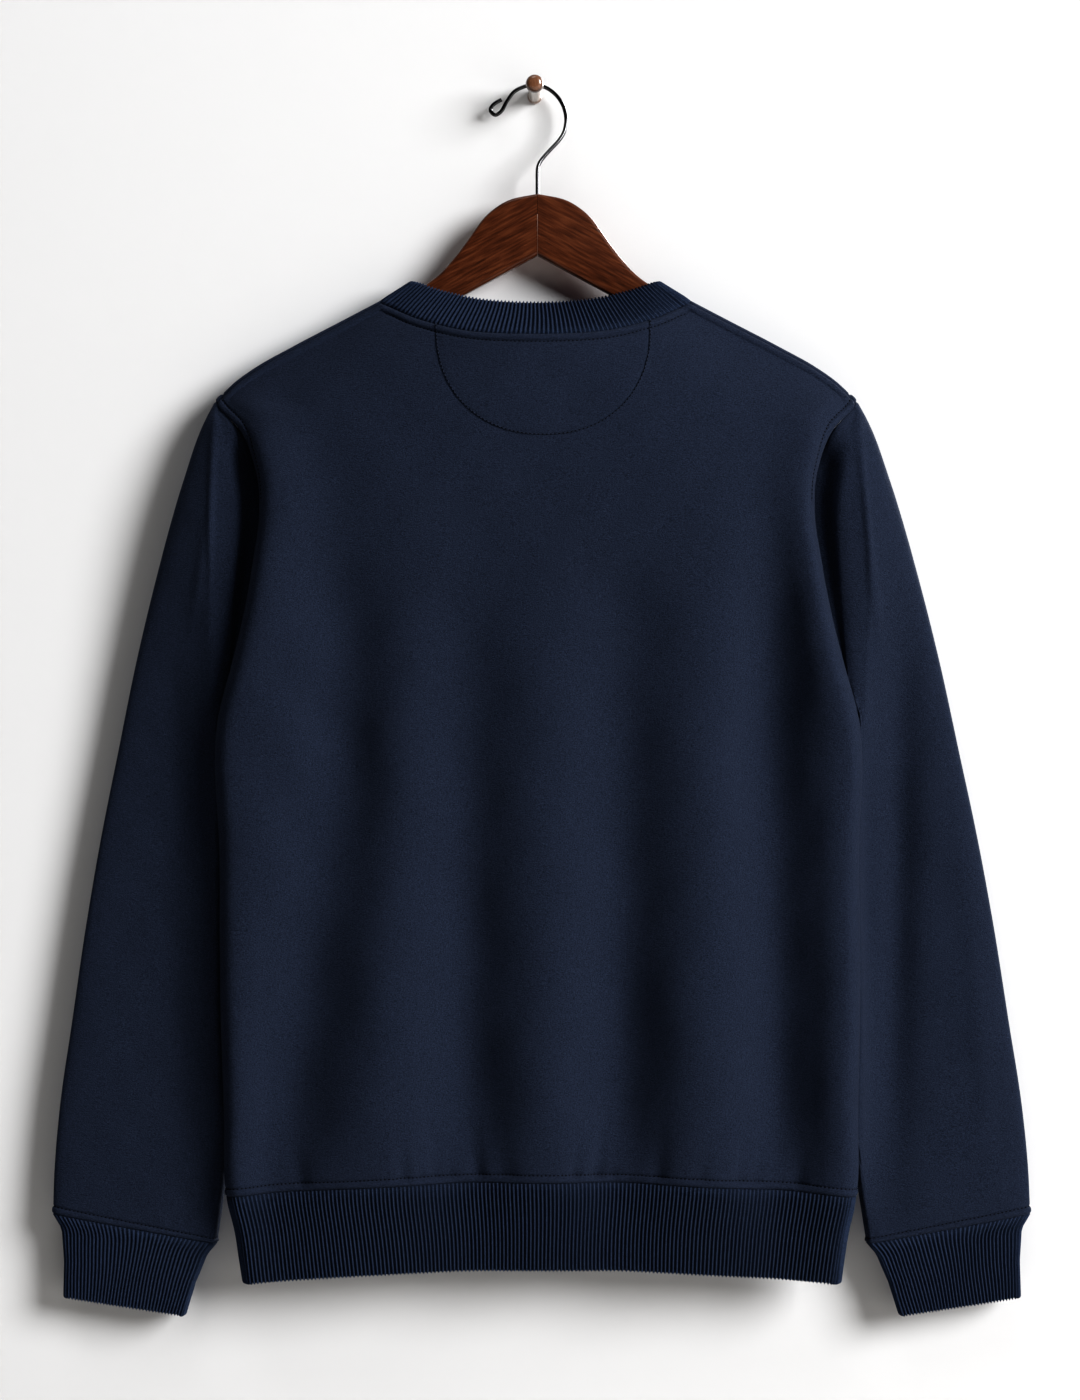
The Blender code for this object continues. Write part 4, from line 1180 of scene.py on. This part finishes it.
def stage_material(name, colour, one_sided=False):
    shader = Shader(name, Roughness=0.9, Specular_IOR_Level=0.1)
    shader.colour((*colour, 1))
    if one_sided:
        clear = shader.node("ShaderNodeBsdfTransparent")
        behind = shader.node("ShaderNodeNewGeometry").outputs["Backfacing"]
        both = shader.node("ShaderNodeMixShader", Fac=behind)
        out = shader.tree.nodes["Material Output"].inputs["Surface"]
        ends = (shader.surface, both.inputs[1]), (clear, both.inputs[2]), (both, out)
        for node, socket in ends:
            shader.tree.links.new(node.outputs[0], socket)
    return shader.material


# The pieces

fleece = cloth_material("navy_fleece", FLEECE, 0.6, 1300.0)
rib_knit = cloth_material("navy_rib_knit", RIB, 0.3, 700.0)
# A darker copy of the rib knit's colour for the grooves between the ribs: painted shade.
rib_groove_painted_shade = cloth_material("navy_rib_grooves_painted_shade", times(RIB, 0.4), 0.3, 700.0)
thread = cloth_material("navy_thread", THREAD_NAVY, 0.1, 900.0)
needle_hole_shade = cloth_material("needle_hole_painted_shade", NEEDLE_HOLE_PAINTED_SHADE, 0.1, 900.0)


def dress(obj, node):
    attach(obj, "root")
    if node:
        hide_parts(node)
    return obj


back = back_sheet()
front = front_sheet()
left_points, left_relief = sleeve_grid(LEFT_SLEEVE_CREASES, "left")
right_points, right_relief = sleeve_grid(RIGHT_SLEEVE_CREASES, "right")
sleeves = {
    "left": Sheet([mirrored(left_points)], [left_relief[:, ::-1]], ring=True),
    "right": Sheet([right_points], [right_relief], ring=True),
}

back_piece = dress(back.build("back_cloth", CLOTH, fleece), "back_panel")
front_piece = dress(front.build("front_cloth", CLOTH, fleece), "front_panel")
sleeve_pieces = {
    side: dress(sheet.build(f"sleeve_cloth_{side}", CLOTH, fleece), f"sleeve_{side}")
    for side, sheet in sleeves.items()
}


def dress_band(name, levels, ribs, grooves, free_edge, node):
    return dress(ribbed_band(name, levels, ribs, grooves, free_edge), node)


cuffs = {"left": mirrored(cuff_levels()), "right": cuff_levels()}
collar_piece = dress_band("collar_knit", collar_levels(), COLLAR_RIBS, 3, "high", "collar_rib")
hem_piece = dress_band("hem_knit", hem_levels(), HEM_RIBS, 4, "low", "hem_rib")
cuff_pieces = {
    side: dress_band(f"cuff_knit_{side}", levels, CUFF_RIBS, 3, "low", f"cuff_{side}")
    for side, levels in cuffs.items()
}


# Stitches, by the piece that they are sewn through

def moon_line():
    """The half-moon's stitches, which climb straight to the collar at both ends."""
    around = np.linspace(0.05, np.pi - 0.05, 240)
    power = 2 / MOON_FULLNESS
    half = MOON_X + MOON_HALF * np.sign(np.cos(around)) * np.abs(np.cos(around)) ** power
    drop = MOON_TOP + MOON_DEPTH * np.sin(around) ** power
    keep = drop > neck_drop(half, False) + 1
    half, drop = half[keep], drop[keep]
    climbs = [np.arange(neck_drop(half[end], False) + 1, drop[end], 0.5) for end in (0, -1)]
    half = np.concatenate([0 * climbs[0] + half[0], half, 0 * climbs[1] + half[-1]])
    drop = np.concatenate([climbs[0], drop, climbs[1][::-1]])
    relief = back_relief(half, drop, FAR, drop - neck_drop(half, False), FAR)
    return surface_line(half, drop, MOON_LIFT + relief)


def panel_lines(sheet, front, pitch, show, neck_pit):
    """A panel's topstitching: along its neck, its hem, and both armholes down to show."""
    column, _, drop, *_ = panel_grid(front, pitch)
    grid, above = sheet.grids[0], drop[:, 0] < show
    return [
        (*sheet.line(grid[STITCH_STEP, np.abs(column) < NECK_HALF]), neck_pit),
        sheet.line(grid[-1 - STITCH_STEP]),
        sheet.line(grid[above, STITCH_STEP]),
        sheet.line(grid[above, -1 - STITCH_STEP]),
    ]


def cuff_line(sheet):
    """The topstitching round a sleeve's end."""
    row = sheet.grids[0][-1 - STITCH_STEP]
    return sheet.line(np.append(row, row[:1]))


back_lines = panel_lines(back, False, BACK_PITCH, STITCHES_SHOW, NECK_PIT)
stitch_lines = {
    "back": [*back_lines, (*moon_line(), MOON_PIT)],
    "front": panel_lines(front, True, FRONT_PITCH, ARMPIT, 1),
    "sleeve_left": [cuff_line(sleeves["left"])],
    "sleeve_right": [cuff_line(sleeves["right"])],
}
stitch_pieces = {
    name: dress(add_stitches(f"{name}_stitches", lines, thread, needle_hole_shade), None)
    for name, lines in stitch_lines.items()
}

for side, name in ((-1, "left"), (1, "right")):
    wood = wood_material(f"varnished_wood_{name}", side)
    arm = hanger_arm(side, f"hanger_wood_{name}", wood)
    dress(arm, f"hanger_arm_{name}")
dress(hook_wire(steel_material()), "hanger_hook")
dress(turned_peg(peg_material()), "wall_peg")


# Stage, light and camera

WALL_Y, WALL_TOP, FLOOR_Z, REACH = 0.6, 2500.0, -1350.0, 4000.0


def plane(name, low, high, material):
    """An upright or level plane between two corners."""
    (x, y, z), (x_end, y_end, z_end) = low, high
    points = [(x, y, z), (x_end, y, z), (x_end, y_end, z_end), (x, y_end, z_end)]
    return add_mesh(name, np.array(points), [(0, 1, 2, 3)], material)


white = stage_material("white_wall", (0.58, 0.58, 0.585), one_sided=True)
pale = stage_material("pale_floor", (0.62, 0.60, 0.57))
wall = plane("wall", (-REACH, WALL_Y, FLOOR_Z), (REACH, WALL_Y, WALL_TOP), white)
floor = plane("floor", (-REACH, -REACH, FLOOR_Z), (REACH, WALL_Y, FLOOR_Z), pale)

MIDDLE = Vector((0, -0.03, -0.43))


def area_light(name, place, size, power):
    data = bpy.data.lights.new(name, "AREA")
    data.shape, data.size, data.energy = "DISK", size, power
    light = add_object(name, data)
    light.location = place
    light.rotation_euler = (MIDDLE - Vector(place)).to_track_quat("-Z", "Y").to_euler()
    return light


area_light("key", (4.4, -3.8, 1.5), 3.2, 540)
area_light("fill", (-0.6, -2.4, 4.2), 2.6, 42)

# The wall and the floor neither take nor stop this one, which shows the side that faces the wall.
behind = area_light("behind", (2.6, 3.2, 1.0), 2.4, 300)
for use in ("receiver_collection", "blocker_collection"):
    left_out = bpy.data.collections.new(f"behind_{use}")
    for obj in (wall, floor):
        left_out.objects.link(obj)
    for member in left_out.collection_objects:
        member.light_linking.link_state = "EXCLUDE"
    setattr(behind.light_linking, use, left_out)

room = bpy.data.worlds.new("room")
room.use_nodes = True
room.node_tree.nodes["Background"].inputs["Color"].default_value = (1, 1, 1, 1)
room.node_tree.nodes["Background"].inputs["Strength"].default_value = 0.018
bpy.context.scene.world = room

FOCUS = 3398  # in the photograph's pixels, 1400 to its height
camera_data = bpy.data.cameras.new("photo_camera")
camera_data.sensor_width = camera_data.sensor_height = 36.0
camera_data.sensor_fit = "AUTO"
camera_data.lens = 36.0 * FOCUS / 1400
camera = add_object("photo_camera", camera_data)
camera.location = (0.0038, -2.45, -0.4348)
camera.rotation_euler = (math.pi / 2, 0, 0)
bpy.context.scene.camera = camera
bpy.context.scene.view_settings.view_transform = "Standard"
bpy.context.scene.view_settings.look = "High Contrast"
